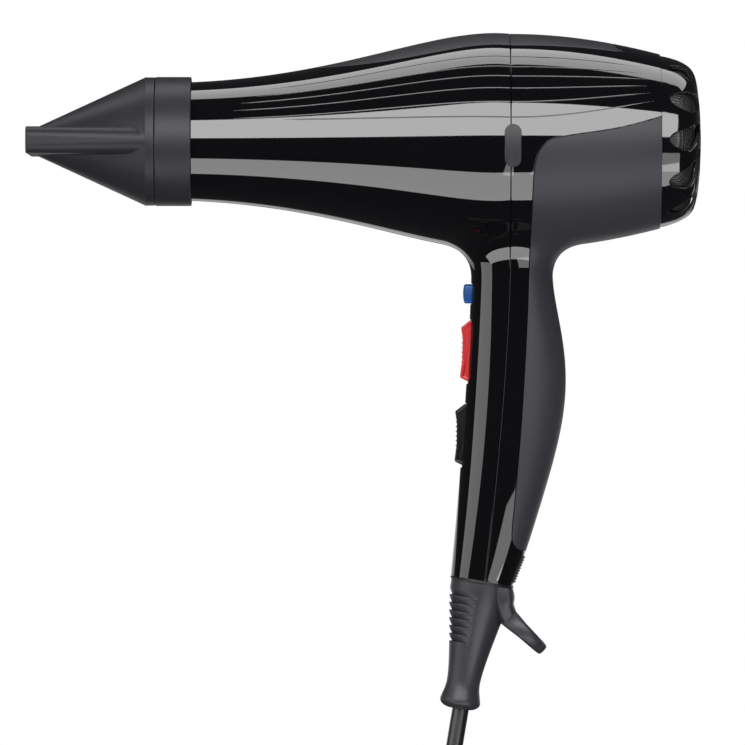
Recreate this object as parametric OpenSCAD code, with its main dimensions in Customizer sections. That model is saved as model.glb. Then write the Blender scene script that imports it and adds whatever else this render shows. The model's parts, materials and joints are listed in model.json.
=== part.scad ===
/* [Barrel] */
// Largest radius of the barrel, where the two shells meet
barrel_r = 45.2; // [44.8:0.1:45.6]
// Radius of the barrel under the nozzle
mouth_r = 24.8; // [24.6:0.1:24.8]
// Height of the barrel axis above the grip centre
barrel_z = 108; // [107:0.5:109]
// Wall thickness of the shells
wall = 2.2; // [2:0.1:2.4]

/* [Handle] */
// Width of the handle at the grip
handle_w = 32; // [31:0.5:33]
// Width of the handle at its foot
foot_w = 26.5; // [26:0.5:28]

/* [Nozzle] */
// Width of the nozzle slot, outside
slot_w = 72; // [60:1:76]
// Height of the nozzle slot, outside
slot_h = 11.3; // [11:0.1:12]

/* [Controls] */
// Reach of a rocker's tip from its pivot
rocker_r = 14; // [13.6:0.1:14]
// Width of a rocker
rocker_w = 10; // [9:0.5:10]

/* [Cord] */
// Diameter of the mains cord
cord_d = 7; // [6.5:0.1:7]

/* [Hidden] */
$fn = 96;

// ---- places along the barrel axis ----
mouth_x = -143.4;
collar_front_x = -149.6;
collar_back_x = -134.4;
collar_r = 27.1;
tip_x = -203;
grille_x = 62;
rear_x = 79.2;
skin = 1.1;
gap = 0.3;

// ---- the barrel's outline: Bezier heights at even steps ----
front_x0 = -149;
rear_x1 = 64.5;
front_heights = [mouth_r, 24.2, 28.7, 32.8, 48.4, barrel_r];
rear_heights = [barrel_r, barrel_r, 41.8, 36];
function binomial(n, k) = k == 0 ? 1 : binomial(n, k - 1) * (n - k + 1) / k;
function bernstein(c, u) = let (n = len(c) - 1)
    [for (k = [0 : n]) binomial(n, k) * pow(u, k) * pow(1 - u, n - k) * c[k]] * [for (k = [0 : n]) 1];
function barrel_radius(x) = x < 0
    ? bernstein(front_heights, max(0, (x - front_x0) / -front_x0))
    : bernstein(rear_heights, min(1, x / rear_x1));

// ---- the handle's outline ----
foot_z = -76.3;
foot_x = -12.3;
lean = 9.6;
slice_t = 0.3;
function front_edge(z) = bernstein([-25.7, -21.5, -17.9, -16.8], (z + 76) / 132);
function back_edge(z) = bernstein([1.3, 13.2, 13.5, 38, 15.6, 17.3], (z + 76) / 132);
function handle_half(z) = foot_w / 2 + (handle_w - foot_w) / 2 * min(1, max(0, (z + 76) / 60));
function flare(z) = 8 * pow(max(0, (z - 50) / 16), 2);

// ---- the seam between the front and the rear shell ----
seam_top_x = -0.8;
function seam_x(z) = seam_top_x - (z > 60 ? 0 : 10.4 * pow((60 - z) / 136, 1.5));
seam_steps = [-92, -76, -52, -28, -2, 24, 44, 60];

// ---- controls ----
heat_pivot = [-12.5, 19.8];
speed_pivot = [-14.8, -15.4];
rocker_face = 8.9;
pin_gap = 0.05;
button_z = 44;
button_h = 8.1;
button_w = 9;
button_travel = 2.2;

// ---- motor and heater ----
shaft_r = 2.5;
bush_r = 5;
bush_front_x = -8;
bush_rear_x = 34;
bush_l = 5;
run_gap = 0.05;
armature_r = 14;
stator_r = 23;
fan_r = 33;
sleeve_r = 22;

// ---- cord route below the boot, then the stored coil ----
cord_route = [[-21.2, 0, -129], [-22.2, 0, -135], [-23.2, 0, -141], [-24.2, 0, -147], [-25, 0, -151.5],
    [-26.2, 0, -155.5], [-28.4, 0, -160], [-30.8, 0, -163.7], [-33.4, 0, -166.5], [-39, 0, -172],
    [-45, 0, -178], [-51, 0, -184], [-57, 0, -190]];
coil_c = [-24.6, 0, -222];
coil_in_r = 28;
coil_out_r = 49;
coil_w = 28;
tail_x = -70;
tail_route = [[tail_x, 0, -222], [tail_x, 0, -230], [tail_x, 0, -240], [tail_x, 0, -251.5]];
tie_w = 12;
tie_t = 1.5;
plug_relief_z = -250;
plug_z = -263;
plug_end_z = -296;
plug_w = 35;
plug_t = 13;
pin_r = 2.4;
pin_l = 19;
pin_pitch = 19;

// ---------------------------------------------------------------- helpers
module along_x(x) {
    translate([x, 0, barrel_z]) rotate([0, 90, 0]) children();
}
module tube_x(x0, x1, r_out, r_in) {
    along_x(x0) difference() {
        cylinder(h = x1 - x0, r = r_out);
        translate([0, 0, -1]) cylinder(h = x1 - x0 + 2, r = r_in);
    }
}
module disc_x(x0, x1, r) {
    along_x(x0) cylinder(h = x1 - x0, r = r);
}
// A solid turned about the barrel axis: points are [x, radius]
module turned(points) {
    translate([0, 0, barrel_z]) rotate([0, 90, 0])
        rotate_extrude() polygon([for (p = points) [p[1], p[0]]]);
}
// An outline in the X-Z plane, extruded across the body
module side_slab(points, y0, y1) {
    translate([0, y1, 0]) rotate([90, 0, 0]) linear_extrude(height = y1 - y0) polygon(points);
}
// Everything in front of the seam, or behind it
module seam_side(front) {
    edge = front ? -220 : 120;
    shift = front ? -gap / 6 : gap / 6;
    curve = [for (z = seam_steps) [seam_x(z) + shift, z]];
    side_slab(concat(curve, [[seam_top_x + shift, 170], [edge, 170], [edge, -92]]), -60, 60);
}
// The barrel as a plug, inset from its outer face
module barrel_plug(inset, x0, x1) {
    steps = [for (i = [0 : 14]) x0 + (x1 - x0) * i / 14];
    turned($fn = 56, concat([[x0, 0]], [for (x = steps) [x, barrel_radius(x) - inset]], [[x1, 0]]));
}
// One level section of the handle, as a thin slice
module handle_slice(z, inset) {
    a = front_edge(z) - flare(z) + inset;
    b = back_edge(z) + flare(z) - inset;
    w = handle_half(z) + flare(z) / 3 - inset;
    n = 28;
    translate([(a + b) / 2, 0, z]) linear_extrude(height = slice_t)
        polygon([for (i = [0 : n - 1]) let (c = cos(360 * i / n), s = sin(360 * i / n))
            [(b - a) / 2 * sign(c) * pow(abs(c), 0.85), w * sign(s) * pow(abs(s), 0.85)]]);
}
// The slanted section at the handle's foot
module foot_slice(inset, drop) {
    translate([foot_x, 0, foot_z]) rotate([0, lean, 0]) translate([0, 0, -drop])
        linear_extrude(height = slice_t) scale([13.4 - inset, foot_w / 2 - inset]) circle(r = 1, $fn = 28);
}
// The handle as a plug, inset from its outer face
module handle_plug(inset, drop) {
    zs = [-60, -46, -32, -18, -4, 10, 24, 38, 50, 56, 62, 70];
    hull() {
        foot_slice(inset, drop);
        handle_slice(zs[0], inset);
    }
    for (i = [1 : len(zs) - 1])
        hull() {
            handle_slice(zs[i - 1], inset);
            handle_slice(zs[i], inset);
        }
}

// ---------------------------------------------------------------- shells
module outer_form(inset) {
    barrel_plug(inset, mouth_x - inset, grille_x + inset);
    handle_plug(inset, 0);
}
module hollow_form() {
    barrel_plug(wall, mouth_x - 0.01, grille_x + 0.01);
    handle_plug(wall, 1);
}
module control_windows() {
    for (p = [heat_pivot, speed_pivot])
        translate([p[0], 0, p[1]]) rotate([90, 0, 0])
            cylinder(h = rocker_w + 2 * gap, r = rocker_r + gap, center = true);
    translate([-18, 0, button_z]) cube([12, button_w + 2 * gap, button_h + 2 * gap], center = true);
}
module strip_outline(grow) {
    front = [for (u = [0 : 0.1 : 1]) [-85 + 65 * u, (21.6 + grow) * pow(sin(90 * u), 0.55)]];
    back = [[0, 21.6 + grow], [25, 19.9 + grow], [38, 17.9 + grow], [48 + grow, 15.6 + grow]];
    half = concat(front, back);
    polygon(concat(half, [[42 + grow, 0]], [for (i = [len(half) - 1 : -1 : 1]) [half[i][0], -half[i][1]]]));
}
module strip_slab(grow) {
    translate([0, 0, barrel_z + 8]) linear_extrude(height = 50) strip_outline(grow);
}
grip_edge = [[70, 119.8], [62, 117.8], [44.8, 112.9], [23.6, 109.5], [15, 107.3], [10.4, 101.5], [8.9, 95],
    [8.4, 86], [7.4, 58.9], [6.4, 31.7], [4.2, -7.4], [1.5, -40.5], [0.1, -56.6], [1.3, -61.6], [4.8, -64]];
module grip_region(grow) {
    side_slab(concat([for (p = grip_edge) [p[0] - grow, p[1] + grow]], [[40, -64], [90, 0], [90, 119.8]]), -60, 60);
}
module front_housing() color([0.05, 0.05, 0.06]) {
    difference() {
        intersection() {
            outer_form(0);
            seam_side(true);
        }
        hollow_form();
        control_windows();
        intersection() {
            strip_slab(0.1);
            difference() {
                barrel_plug(-2, -100, 60);
                barrel_plug(skin, -100, 60);
            }
        }
    }
}
module rear_housing() color([0.05, 0.05, 0.06]) {
    difference() {
        intersection() {
            outer_form(0);
            seam_side(false);
        }
        hollow_form();
        intersection() {
            strip_slab(0.1);
            difference() {
                barrel_plug(-2, -20, 60);
                barrel_plug(skin, -20, 60);
            }
        }
        insert_slab(0.1);
        difference() {
            grip_region(0.1);
            outer_form(skin);
        }
    }
}
module rear_grip() color([0.27, 0.27, 0.29]) {
    difference() {
        intersection() {
            outer_form(0);
            grip_region(0);
        }
        outer_form(skin - 0.05);
    }
}
module strip_part(x0, x1) {
    intersection() {
        strip_slab(0);
        difference() {
            barrel_plug(0, x0, x1);
            barrel_plug(skin - 0.05, x0 - 0.01, x1 + 0.01);
        }
    }
}
module top_strip_front() color([0.27, 0.27, 0.29]) strip_part(-100, seam_top_x - 0.1);
module top_strip_rear() color([0.27, 0.27, 0.29]) strip_part(seam_top_x + 0.1, 60);

clip_x = 0;
clip_z = 105.3;
module side_clip(side) {
    y0 = side > 0 ? 45.4 : -46.2;
    translate([clip_x, y0, clip_z]) rotate([-90, 0, 0]) linear_extrude(height = 0.8) {
        square([6.3, 11], center = true);
        translate([0, 5.5]) circle(r = 3.15);
        translate([0, -5.5]) circle(r = 3.15);
    }
}
module side_clip_left() color([0.3, 0.3, 0.31]) side_clip(-1);
module side_clip_right() color([0.3, 0.3, 0.31]) side_clip(1);
module insert_slab(grow) {
    side_slab([[back_edge(-66) - 1.2 - grow, -66 + grow], [12, -66 + grow], [12, -84],
        [back_edge(-66) - 11, -84]], -6 - grow, 6 + grow);
}
module handle_insert() color([0.27, 0.27, 0.29]) {
    difference() {
        intersection() {
            outer_form(0);
            insert_slab(0);
        }
        for (i = [0 : 9])
            translate([back_edge(-66.8 - i) - 0.35, -7, -66.8 - i]) cube([3, 14, 0.4]);
        translate([-8, -7, -90]) cube([20, 14, 12.6]);
    }
}
module screw_x(x, y, z, r, l) {
    translate([x, y, z]) rotate([0, 90, 0]) {
        cylinder(h = l, r = r);
        translate([0, 0, l]) cylinder(h = 1.8, r = 1.9 * r);
    }
}
module housing_screws() color("silver") {
    screw_x(-8, 0, 65.2, 1.4, 16);
    screw_x(-14, 0, -40, 1.4, 16);
}

// ---------------------------------------------------------------- intake
module grille_blank() {
    turned([[grille_x + gap, 36.1], [70.8, 34], [75, 31.1], [76.7, 28.8], [77.8, 25], [78.4, 21], [rear_x, 9],
        [rear_x, 0], [77.2, 0], [77.2, 9], [76.2, 22], [75.2, 27], [73.4, 29.3], [69.6, 32],
        [grille_x + gap, 33.9]]);
}
module rear_grille() color([0.04, 0.04, 0.05]) {
    slots = 12;
    difference() {
        grille_blank();
        for (i = [0 : slots - 1])
            translate([0, 0, barrel_z]) rotate([i * 360 / slots, 0, 0])
                translate([69, -3.2, 15]) cube([14, 6.4, 24]);
    }
    tube_x(grille_x - 4, grille_x + gap + 0.5, 33.9, 32.6);
}
module filter_mesh() color([0.2, 0.2, 0.2]) {
    turned([[66, 31.8], [69.3, 31.6], [73, 28.9], [74.8, 26.6], [75.8, 21.8], [76.8, 9], [76.8, 0],
        [76.1, 0], [76.1, 9], [75.1, 21.5], [74.1, 26.2], [72.4, 28.3], [69, 30.9], [66, 31.1]]);
}

// ---------------------------------------------------------------- nozzle
bead_x = -147.5;
module nozzle_collar() color([0.23, 0.23, 0.25]) {
    difference() {
        tube_x(collar_front_x, collar_back_x, collar_r, 25.15);
        tube_x(bead_x - 0.3, bead_x + 1.3, 25.9, 24);
    }
}
module stadium(w, h) {
    square([w - h, h], center = true);
    translate([(w - h) / 2, 0]) circle(d = h);
    translate([(h - w) / 2, 0]) circle(d = h);
}
// The slot's outline, wide along Y, as a prism pointing along +X
module slot_prism(x0, x1, inset) {
    along_x(x0) rotate([0, 0, 90]) linear_extrude(height = x1 - x0)
        stadium(slot_w - 2 * inset, slot_h - 2 * inset);
}
module fishtail(inset, r, x0, x1) {
    hull() {
        slot_prism($fn = 32, x0, -200, inset);
        along_x(x1 - 0.1) cylinder(h = 0.1, r = r, $fn = 36);
    }
}
module nozzle() color([0.23, 0.23, 0.25]) {
    difference() {
        union() {
            fishtail(0, collar_r, tip_x, -153.4);
            tube_x(-153.5, -144.4, 24.8, 23.2);
            tube_x(bead_x, bead_x + 1, 25.6, 23.2);
        }
        fishtail(1.6, 22.4, tip_x - 1, -154);
        disc_x(-154.6, -144, 23.2);
    }
}
module outlet_grille() color([0.12, 0.12, 0.12]) {
    x0 = -142.6;
    x1 = -140.6;
    tube_x(x0, x1, 22.3, 20.9);
    tube_x(x0, x1, 14.8, 13.6);
    disc_x(x0, x1, 6);
    for (a = [30 : 60 : 330])
        along_x(x0 + 0.3) rotate([0, 0, a]) translate([5, -0.6, 0]) cube([16.4, 1.2, x1 - x0 - 0.6]);
}

// ---------------------------------------------------------------- controls
module cross_pin(p, r, l) {
    translate([p[0], 0, p[1]]) rotate([90, 0, 0]) cylinder(h = l, r = r, center = true);
}
module rocker(p) {
    intersection() {
        cross_pin(p, rocker_r, rocker_w);
        translate([p[0] - rocker_face, -10, p[1] - 20]) cube([rocker_face - 0.4, 20, 40]);
    }
    cross_pin(p, 2.4, rocker_w);
    cross_pin(p, 1.2, 13.2);
}
module heat_rocker() color([0.85, 0.08, 0.11]) rocker(heat_pivot);
module speed_rocker() color([0.05, 0.05, 0.06]) rocker(speed_pivot);
module switch_body(p) {
    translate([p[0] + 3, -6.75, p[1] - 11]) cube([10, 13.5, 22]);
    for (y = [-6.05, 6.05])
        difference() {
            union() {
                translate([p[0], y - 0.7, p[1] - 2]) cube([3.5, 1.4, 4]);
                translate([0, y, 0]) cross_pin(p, 2, 1.4);
            }
            translate([0, y, 0]) cross_pin(p, 1.2 + pin_gap, 3);
        }
}
module heat_switch_body() color([0.8, 0.8, 0.78]) switch_body(heat_pivot);
module speed_switch_body() color([0.8, 0.8, 0.78]) switch_body(speed_pivot);
module cold_shot_button() color([0.05, 0.3, 0.6]) {
    translate([-20, -button_w / 2, button_z - button_h / 2]) cube([7.6, button_w, button_h]);
    translate([-13.2, -5.4, button_z - 5]) cube([1, 10.8, 10]);
}
spring_x = -12.1;
module button_spring() color("silver") {
    turns = 4;
    steps = 14;
    sweep([for (i = [0 : turns * steps]) let (a = 360 * i / steps)
        [spring_x + 0.3 + 6.6 * i / (turns * steps), 2.2 * cos(a), button_z + 2.2 * sin(a)]], 0.3, 6);
}
module cold_switch_body() color([0.8, 0.8, 0.78]) {
    difference() {
        translate([-8.6, -6, button_z - 6]) cube([8, 12, 12]);
        translate([-9, 0, button_z]) rotate([0, 90, 0]) cylinder(h = 7.2, r = 3);
    }
}

// ---------------------------------------------------------------- heater
heater_x0 = -122;
coil_count = 12;
coil_step = 5.2;
module heater_sleeve() color([0.75, 0.72, 0.62]) tube_x(-134, -40, sleeve_r, sleeve_r - 0.8);
module mica_cross() color([0.7, 0.66, 0.55]) {
    translate([-130, -0.4, barrel_z - 20.6]) cube([84, 0.8, 41.2]);
    translate([-130, -20.6, barrel_z - 0.4]) cube([84, 41.2, 0.8]);
}
module heating_coils() color([0.6, 0.5, 0.42]) {
    for (i = [0 : coil_count - 1])
        along_x(heater_x0 + i * coil_step) rotate_extrude() translate([15, 0]) circle(r = 1.3);
}
module thermostat() color([0.7, 0.7, 0.72]) {
    translate([-52, 0.7, barrel_z + 11]) rotate([-90, 0, 0]) cylinder(h = 3.4, r = 4);
}
module thermal_fuse() color([0.85, 0.85, 0.82]) {
    translate([-58, 3, barrel_z - 10]) rotate([0, 90, 0]) cylinder(h = 11, r = 1.8);
}

// ---------------------------------------------------------------- motor
screw_y = 21;
module screw_holes(r) {
    for (y = [-screw_y, screw_y])
        translate([-20, y, barrel_z]) rotate([0, 90, 0]) cylinder(h = 70, r = r);
}
module motor_carrier() color([0.1, 0.1, 0.1]) {
    tube_x(6, 34, 24.9, 23.3);
    tube_x(8, 32, 39.4, 38);
    for (i = [0 : 5])
        along_x(10) rotate([0, 0, 30 + i * 60]) translate([24.4, -0.7, 0]) cube([14.1, 1.4, 20]);
}
module rubber_mount() color([0.08, 0.08, 0.08]) tube_x(18, 22, 41.2, 39.4);
module fan_shroud() color([0.1, 0.1, 0.1]) {
    tube_x(38, 58, 35.3, 34);
    tube_x(38, 39.2, 39, 34);
}
module stator_stack() color([0.5, 0.5, 0.52]) {
    difference() {
        intersection() {
            disc_x(10, 30, stator_r);
            translate([10, -19.5, barrel_z - 30]) cube([20, 39, 60]);
        }
        disc_x(9, 31, armature_r + 0.6);
    }
}
module winding_pair(x0, x1) {
    difference() {
        tube_x(x0, x1, 19.2, 15.4);
        translate([x0 - 1, -5, barrel_z - 30]) cube([x1 - x0 + 2, 10, 60]);
    }
}
module field_windings() color([0.72, 0.4, 0.2]) {
    winding_pair(5, 10);
    winding_pair(30, 33.4);
}
module bracket(plate0, plate1, skirt0, skirt1) {
    difference() {
        union() {
            disc_x(plate0, plate1, 22.8);
            tube_x(skirt0, skirt1, 22.8, 21.2);
        }
        disc_x(plate0 - 1, plate1 + 1, bush_r);
        for (a = [45 : 90 : 315])
            along_x(plate0 - 1) rotate([0, 0, a]) translate([13.5, 0, 0])
                cylinder(h = plate1 - plate0 + 2, r = 5);
        screw_holes(1.3);
        translate([skirt0 - (skirt0 < plate0 ? 1 : 0), -25, barrel_z - 3])
            cube([skirt1 - skirt0 + (skirt0 < plate0 ? 1 : 1), 50, 6]);
    }
}
module motor_front_bracket() color([0.62, 0.62, 0.64]) bracket(-8, -4, -4, 9.9);
module motor_rear_bracket() color([0.62, 0.62, 0.64]) bracket(35, 39, 30.1, 35);
module bush(x) {
    tube_x(x, x + bush_l, bush_r, shaft_r + run_gap);
}
module front_bearing() color([0.72, 0.55, 0.3]) bush(bush_front_x);
module rear_bearing() color([0.72, 0.55, 0.3]) bush(bush_rear_x);
module carbon_brushes() color([0.15, 0.15, 0.15]) {
    for (s = [-1, 1])
        translate([1, -2, barrel_z + (s > 0 ? 7.1 : -15)]) cube([4, 4, 7.9]);
}
module motor_screws() color("silver") {
    for (y = [-screw_y, screw_y]) {
        translate([-9.5, y, barrel_z]) rotate([0, 90, 0]) cylinder(h = 50, r = 1.2);
        translate([-10.5, y, barrel_z]) rotate([0, 90, 0]) cylinder(h = 2.2, r = 2.2);
    }
}
module motor_shaft() color("silver") disc_x(-9, 56, shaft_r);
module armature() color([0.45, 0.42, 0.4]) {
    tube_x(10, 30, armature_r, shaft_r);
    tube_x(8, 32, 11, shaft_r);
}
module commutator() color([0.72, 0.45, 0.25]) tube_x(-1, 7, 7, shaft_r);
module fan() color([0.12, 0.12, 0.13]) {
    tube_x(41.5, 56, 8, shaft_r);
    for (i = [0 : 8])
        translate([48.7, 0, barrel_z]) rotate([i * 40, 0, 0]) translate([0, 0, 7.4]) rotate([0, 0, 35])
            translate([-6.5, -0.7, 0]) cube([13, 1.4, 25]);
}

// ---------------------------------------------------------------- wiring
// A round tube swept along points that lie near the X-Z plane
function unit(v) = v / norm(v);
function tangent(p, i) = unit(p[min(i + 1, len(p) - 1)] - p[max(i - 1, 0)]);
function ring_at(p, i, r, n) = let (
    t = tangent(p, i),
    side = abs(t[1]) < 0.9 ? [0, 1, 0] : [1, 0, 0],
    u = unit(cross(t, side)),
    v = cross(t, u))
    [for (k = [0 : n - 1]) p[i] + r * (u * cos(360 * k / n) + v * sin(360 * k / n))];
module sweep(p, r, n) {
    m = len(p);
    points = [for (i = [0 : m - 1]) each ring_at(p, i, r, n)];
    sides = [for (j = [0 : m - 2], i = [0 : n - 1]) let (k = (i + 1) % n)
        [j * n + i, j * n + k, (j + 1) * n + k, (j + 1) * n + i]];
    caps = [[for (i = [0 : n - 1]) n - 1 - i], [for (i = [0 : n - 1]) (m - 1) * n + i]];
    polyhedron(points, concat(sides, caps));
}
module suppression_capacitor() color([0.85, 0.75, 0.2]) {
    translate([-4, -7, 50]) cube([15, 14, 11]);
}
module wire_harness() color([0.1, 0.2, 0.5]) {
    sweep([[-9, -4, -62], [-4, -4, -50], [1, -4, -30], [5, -4, -10], [7, -4, 10], [8, -4, 30], [8, -4, 50]], 1, 6);
    sweep([[-9, 4, -62], [-4, 4, -50], [1, 4, -30], [5, 4, -10], [7, 4, 10], [8, 4, 30], [8, 4, 50]], 1, 6);
    sweep([[-9, 0, -62], [-8, 5.5, -50], [-6, 5.5, -38], [-6, 3, -29]], 1, 6);
}
module cord_clamp() color([0.85, 0.85, 0.82]) {
    translate([-16, -8, -70]) cube([10, 16, 5]);
}
module clamp_screws() color("silver") {
    for (y = [-5.5, 5.5])
        translate([-11, y, -65]) cylinder(h = 1.6, r = 2);
}

// ---------------------------------------------------------------- boot and cord
module at_foot() {
    translate([foot_x, 0, foot_z]) rotate([0, lean, 0]) children();
}
eye_c = [4.7, 0, -97.5];
eye_tilt = 43.6;
eye_r = 7.5;
eye_t = 4.4;
function boot_r(s) = 7 + 6.3 * pow(max(0, cos(s * 2.05)), 1.85);
module relief_ring() color([0.12, 0.12, 0.13]) {
    at_foot() translate([0, 0, -1.3]) difference() {
        cylinder(h = 1.2, r = 13.6);
        translate([0, 0, -1]) cylinder(h = 4, r = 5);
    }
}
module strain_relief() color([0.29, 0.29, 0.3]) {
    difference() {
        union() {
            at_foot() rotate_extrude() polygon(concat([[0, -1.4]],
                [for (s = [1.4 : 4.6 : 42.8]) [boot_r(s), -s]],
                [[7.1, -46], [8.3, -49.6], [8.5, -51], [7.4, -53.2], [5, -54.6], [0, -54.6]]));
            translate(eye_c) rotate([0, eye_tilt, 0]) cylinder(h = eye_t, r = 12.4, center = true);
            translate(eye_c) rotate([0, eye_tilt, 0]) translate([-13, -11.5, -eye_t / 2])
                cube([11, 23, eye_t]);
        }
        translate(eye_c) rotate([0, eye_tilt, 0]) cylinder(h = eye_t + 1, r = eye_r, center = true);
        at_foot() for (i = [0 : 6])
            translate([-18, -20, -7.2 - 3.2 * i]) cube([19.3 - boot_r(6.6 + 3.2 * i), 40, 1.2]);
    }
}
module cord() color([0.08, 0.08, 0.09]) {
    sweep(cord_route, cord_d / 2, 10);
    sweep(tail_route, cord_d / 2, 10);
}
module cord_coil() color([0.08, 0.08, 0.09]) {
    translate(coil_c) rotate([90, 0, 0]) rotate_extrude()
        translate([(coil_in_r + coil_out_r) / 2, 0]) square([coil_out_r - coil_in_r, coil_w], center = true);
}
module cord_tie() color([0.1, 0.1, 0.1]) {
    low = coil_c[2] + coil_in_r - 0.9;
    high = coil_c[2] + coil_out_r + 0.2;
    difference() {
        translate([coil_c[0] - tie_w / 2, -coil_w / 2 - 0.2 - tie_t, low - tie_t])
            cube([tie_w, coil_w + 0.4 + 2 * tie_t, high - low + 2 * tie_t]);
        translate([coil_c[0] - tie_w, -coil_w / 2 - 0.2, low]) cube([2 * tie_w, coil_w + 0.4, high - low]);
    }
}
module plug_body() color([0.08, 0.08, 0.09]) {
    translate([tail_x, 0, plug_z]) cylinder(h = plug_relief_z - plug_z, r1 = 5.8, r2 = 4.3);
    hull($fn = 32) {
        for (y = [-1, 1]) {
            translate([tail_x, y * 3, plug_z - 2]) cylinder(h = 2.5, r = 5.5);
            translate([tail_x, y * (plug_w / 2 - plug_t / 2), plug_end_z]) cylinder(h = 16, r = plug_t / 2);
        }
    }
}
module plug_pins() color([0.75, 0.72, 0.65]) {
    for (y = [-0.5, 0.5])
        translate([tail_x, y * pin_pitch, plug_end_z - pin_l]) cylinder(h = pin_l, r = pin_r);
}

front_housing();
rear_housing();
rear_grip();
top_strip_front();
top_strip_rear();
side_clip_left();
side_clip_right();
handle_insert();
housing_screws();
rear_grille();
filter_mesh();
nozzle_collar();
nozzle();
outlet_grille();
heat_rocker();
speed_rocker();
cold_shot_button();
button_spring();
heat_switch_body();
speed_switch_body();
cold_switch_body();
heater_sleeve();
mica_cross();
heating_coils();
thermostat();
thermal_fuse();
motor_carrier();
rubber_mount();
fan_shroud();
stator_stack();
field_windings();
motor_front_bracket();
motor_rear_bracket();
front_bearing();
rear_bearing();
carbon_brushes();
motor_screws();
motor_shaft();
armature();
commutator();
fan();
suppression_capacitor();
wire_harness();
cord_clamp();
clamp_screws();
strain_relief();
relief_ring();
cord();
cord_coil();
cord_tie();
plug_body();
plug_pins();
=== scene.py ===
"""A salon hair dryer: glossy barrel, soft rear grip, flat nozzle, swirled grille and mains cord.

Every sub-assembly is a class that builds its meshes in millimetres, in the frame's own axes, and
dresses them. The nozzle points along -X, the rear grille along +X and the handle down.
"""

import json
import logging
import math
from collections.abc import Callable, Mapping, Sequence
from dataclasses import dataclass, field
from enum import Enum

import bpy
import numpy as np
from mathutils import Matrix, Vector


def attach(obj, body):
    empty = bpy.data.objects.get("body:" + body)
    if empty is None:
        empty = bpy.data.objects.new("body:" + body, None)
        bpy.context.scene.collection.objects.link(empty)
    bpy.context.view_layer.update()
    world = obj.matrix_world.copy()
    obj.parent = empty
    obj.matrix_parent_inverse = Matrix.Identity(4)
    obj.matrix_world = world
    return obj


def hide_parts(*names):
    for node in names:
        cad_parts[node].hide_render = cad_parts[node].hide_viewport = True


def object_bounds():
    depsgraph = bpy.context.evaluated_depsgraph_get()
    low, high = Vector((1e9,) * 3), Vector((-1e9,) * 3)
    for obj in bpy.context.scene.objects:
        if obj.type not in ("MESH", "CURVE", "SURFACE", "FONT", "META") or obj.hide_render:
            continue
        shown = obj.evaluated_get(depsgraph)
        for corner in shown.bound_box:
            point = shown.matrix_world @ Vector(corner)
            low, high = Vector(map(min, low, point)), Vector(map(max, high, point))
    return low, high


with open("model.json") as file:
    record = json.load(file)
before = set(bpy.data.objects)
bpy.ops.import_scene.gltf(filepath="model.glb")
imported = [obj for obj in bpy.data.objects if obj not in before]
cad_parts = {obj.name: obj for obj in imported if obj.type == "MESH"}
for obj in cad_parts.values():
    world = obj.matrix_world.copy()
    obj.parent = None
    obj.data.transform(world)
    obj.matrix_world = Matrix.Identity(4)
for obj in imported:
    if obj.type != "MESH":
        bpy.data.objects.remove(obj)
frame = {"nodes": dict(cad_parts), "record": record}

CAD_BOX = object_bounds()
MM = 0.001
FULL_TURN = 2 * math.pi
RIGHT_ANGLE = math.pi / 2
LOG = logging.getLogger("hair_dryer")
Array = np.ndarray
Level = Callable[[Array], Array]
Pair = tuple[float, float]
Triple = tuple[float, float, float]
Faces = list[tuple[int, ...]]


# ---------------- geometry tools


def bezier(heights: Sequence[float], u: Array) -> Array:
    """Height of a Bezier curve whose control heights stand at even steps.

    Args:
        heights: The control heights.
        u: Parameters from 0 to 1.

    Returns:
        The curve's height at each parameter.
    """
    n = len(heights) - 1
    return sum(math.comb(n, k) * u**k * (1 - u) ** (n - k) * h for k, h in enumerate(heights))


def unit(v: Array) -> Array:
    """Rows of v at unit length."""
    return v / np.maximum(np.linalg.norm(v, axis=-1, keepdims=True), 1e-12)


def angles_round(steps: int) -> Array:
    """Even angles once round."""
    return np.arange(steps) * 2 * math.pi / steps


def squared(value: Array | float, power: float) -> Array | float:
    """A sine or cosine raised to a power with its sign kept, which squares a circle's corners."""
    return np.sign(value) * np.abs(value) ** power


def eased(share: float) -> float:
    """A share from 0 to 1 that starts and ends gently."""
    return share * share * (3 - 2 * share)


def grid_faces(columns: int, rows: int) -> Faces:
    """The faces of an open grid whose points are numbered row by row."""
    corners = (0, 1, columns + 1, columns)
    starts = [j * columns + i for j in range(rows - 1) for i in range(columns - 1)]
    return [tuple(start + corner for corner in corners) for start in starts]


def facing(points: Array, faces: Faces, normals: Array) -> Faces:
    """The faces, all turned over if they look against the normals."""
    a, b, c = (points[[f[k] for f in faces]] for k in range(3))
    looks = (np.cross(b - a, c - a) * normals[[f[0] for f in faces]]).sum()
    return [tuple(reversed(f)) for f in faces] if looks < 0 else faces


def renumbered(points: Array, faces: Faces) -> tuple:
    """The points that the faces use, and the faces with their new numbers."""
    used = sorted({i for f in faces for i in f})
    place = {old: new for new, old in enumerate(used)}
    return points[used], [tuple(place[i] for i in f) for f in faces]


def placed(name: str, data: bpy.types.ID) -> bpy.types.Object:
    """A new object in the scene."""
    thing = bpy.data.objects.new(name, data)
    bpy.context.scene.collection.objects.link(thing)
    return thing


def slope(level: Level, points: Array, step: float = 0.01) -> Array:
    """Gradient of a level function at each point.

    Args:
        level: A function from points to numbers.
        points: Points, one a row.
        step: Half of the central difference, in millimetres.

    Returns:
        One gradient a row.
    """
    parts = []
    for axis in range(3):
        shift = np.zeros(3)
        shift[axis] = step
        parts.append((level(points + shift) - level(points - shift)) / (2 * step))
    return np.stack(parts, axis=1)


def towards(level: Level, points: Array, step: float = 0.01) -> Array:
    """Points moved along the level's slope to where it would be 0."""
    grade = slope(level, points, step)
    size = np.maximum((grade**2).sum(axis=1), 1e-6)
    return points - grade * (level(points) / size)[:, None]


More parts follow.
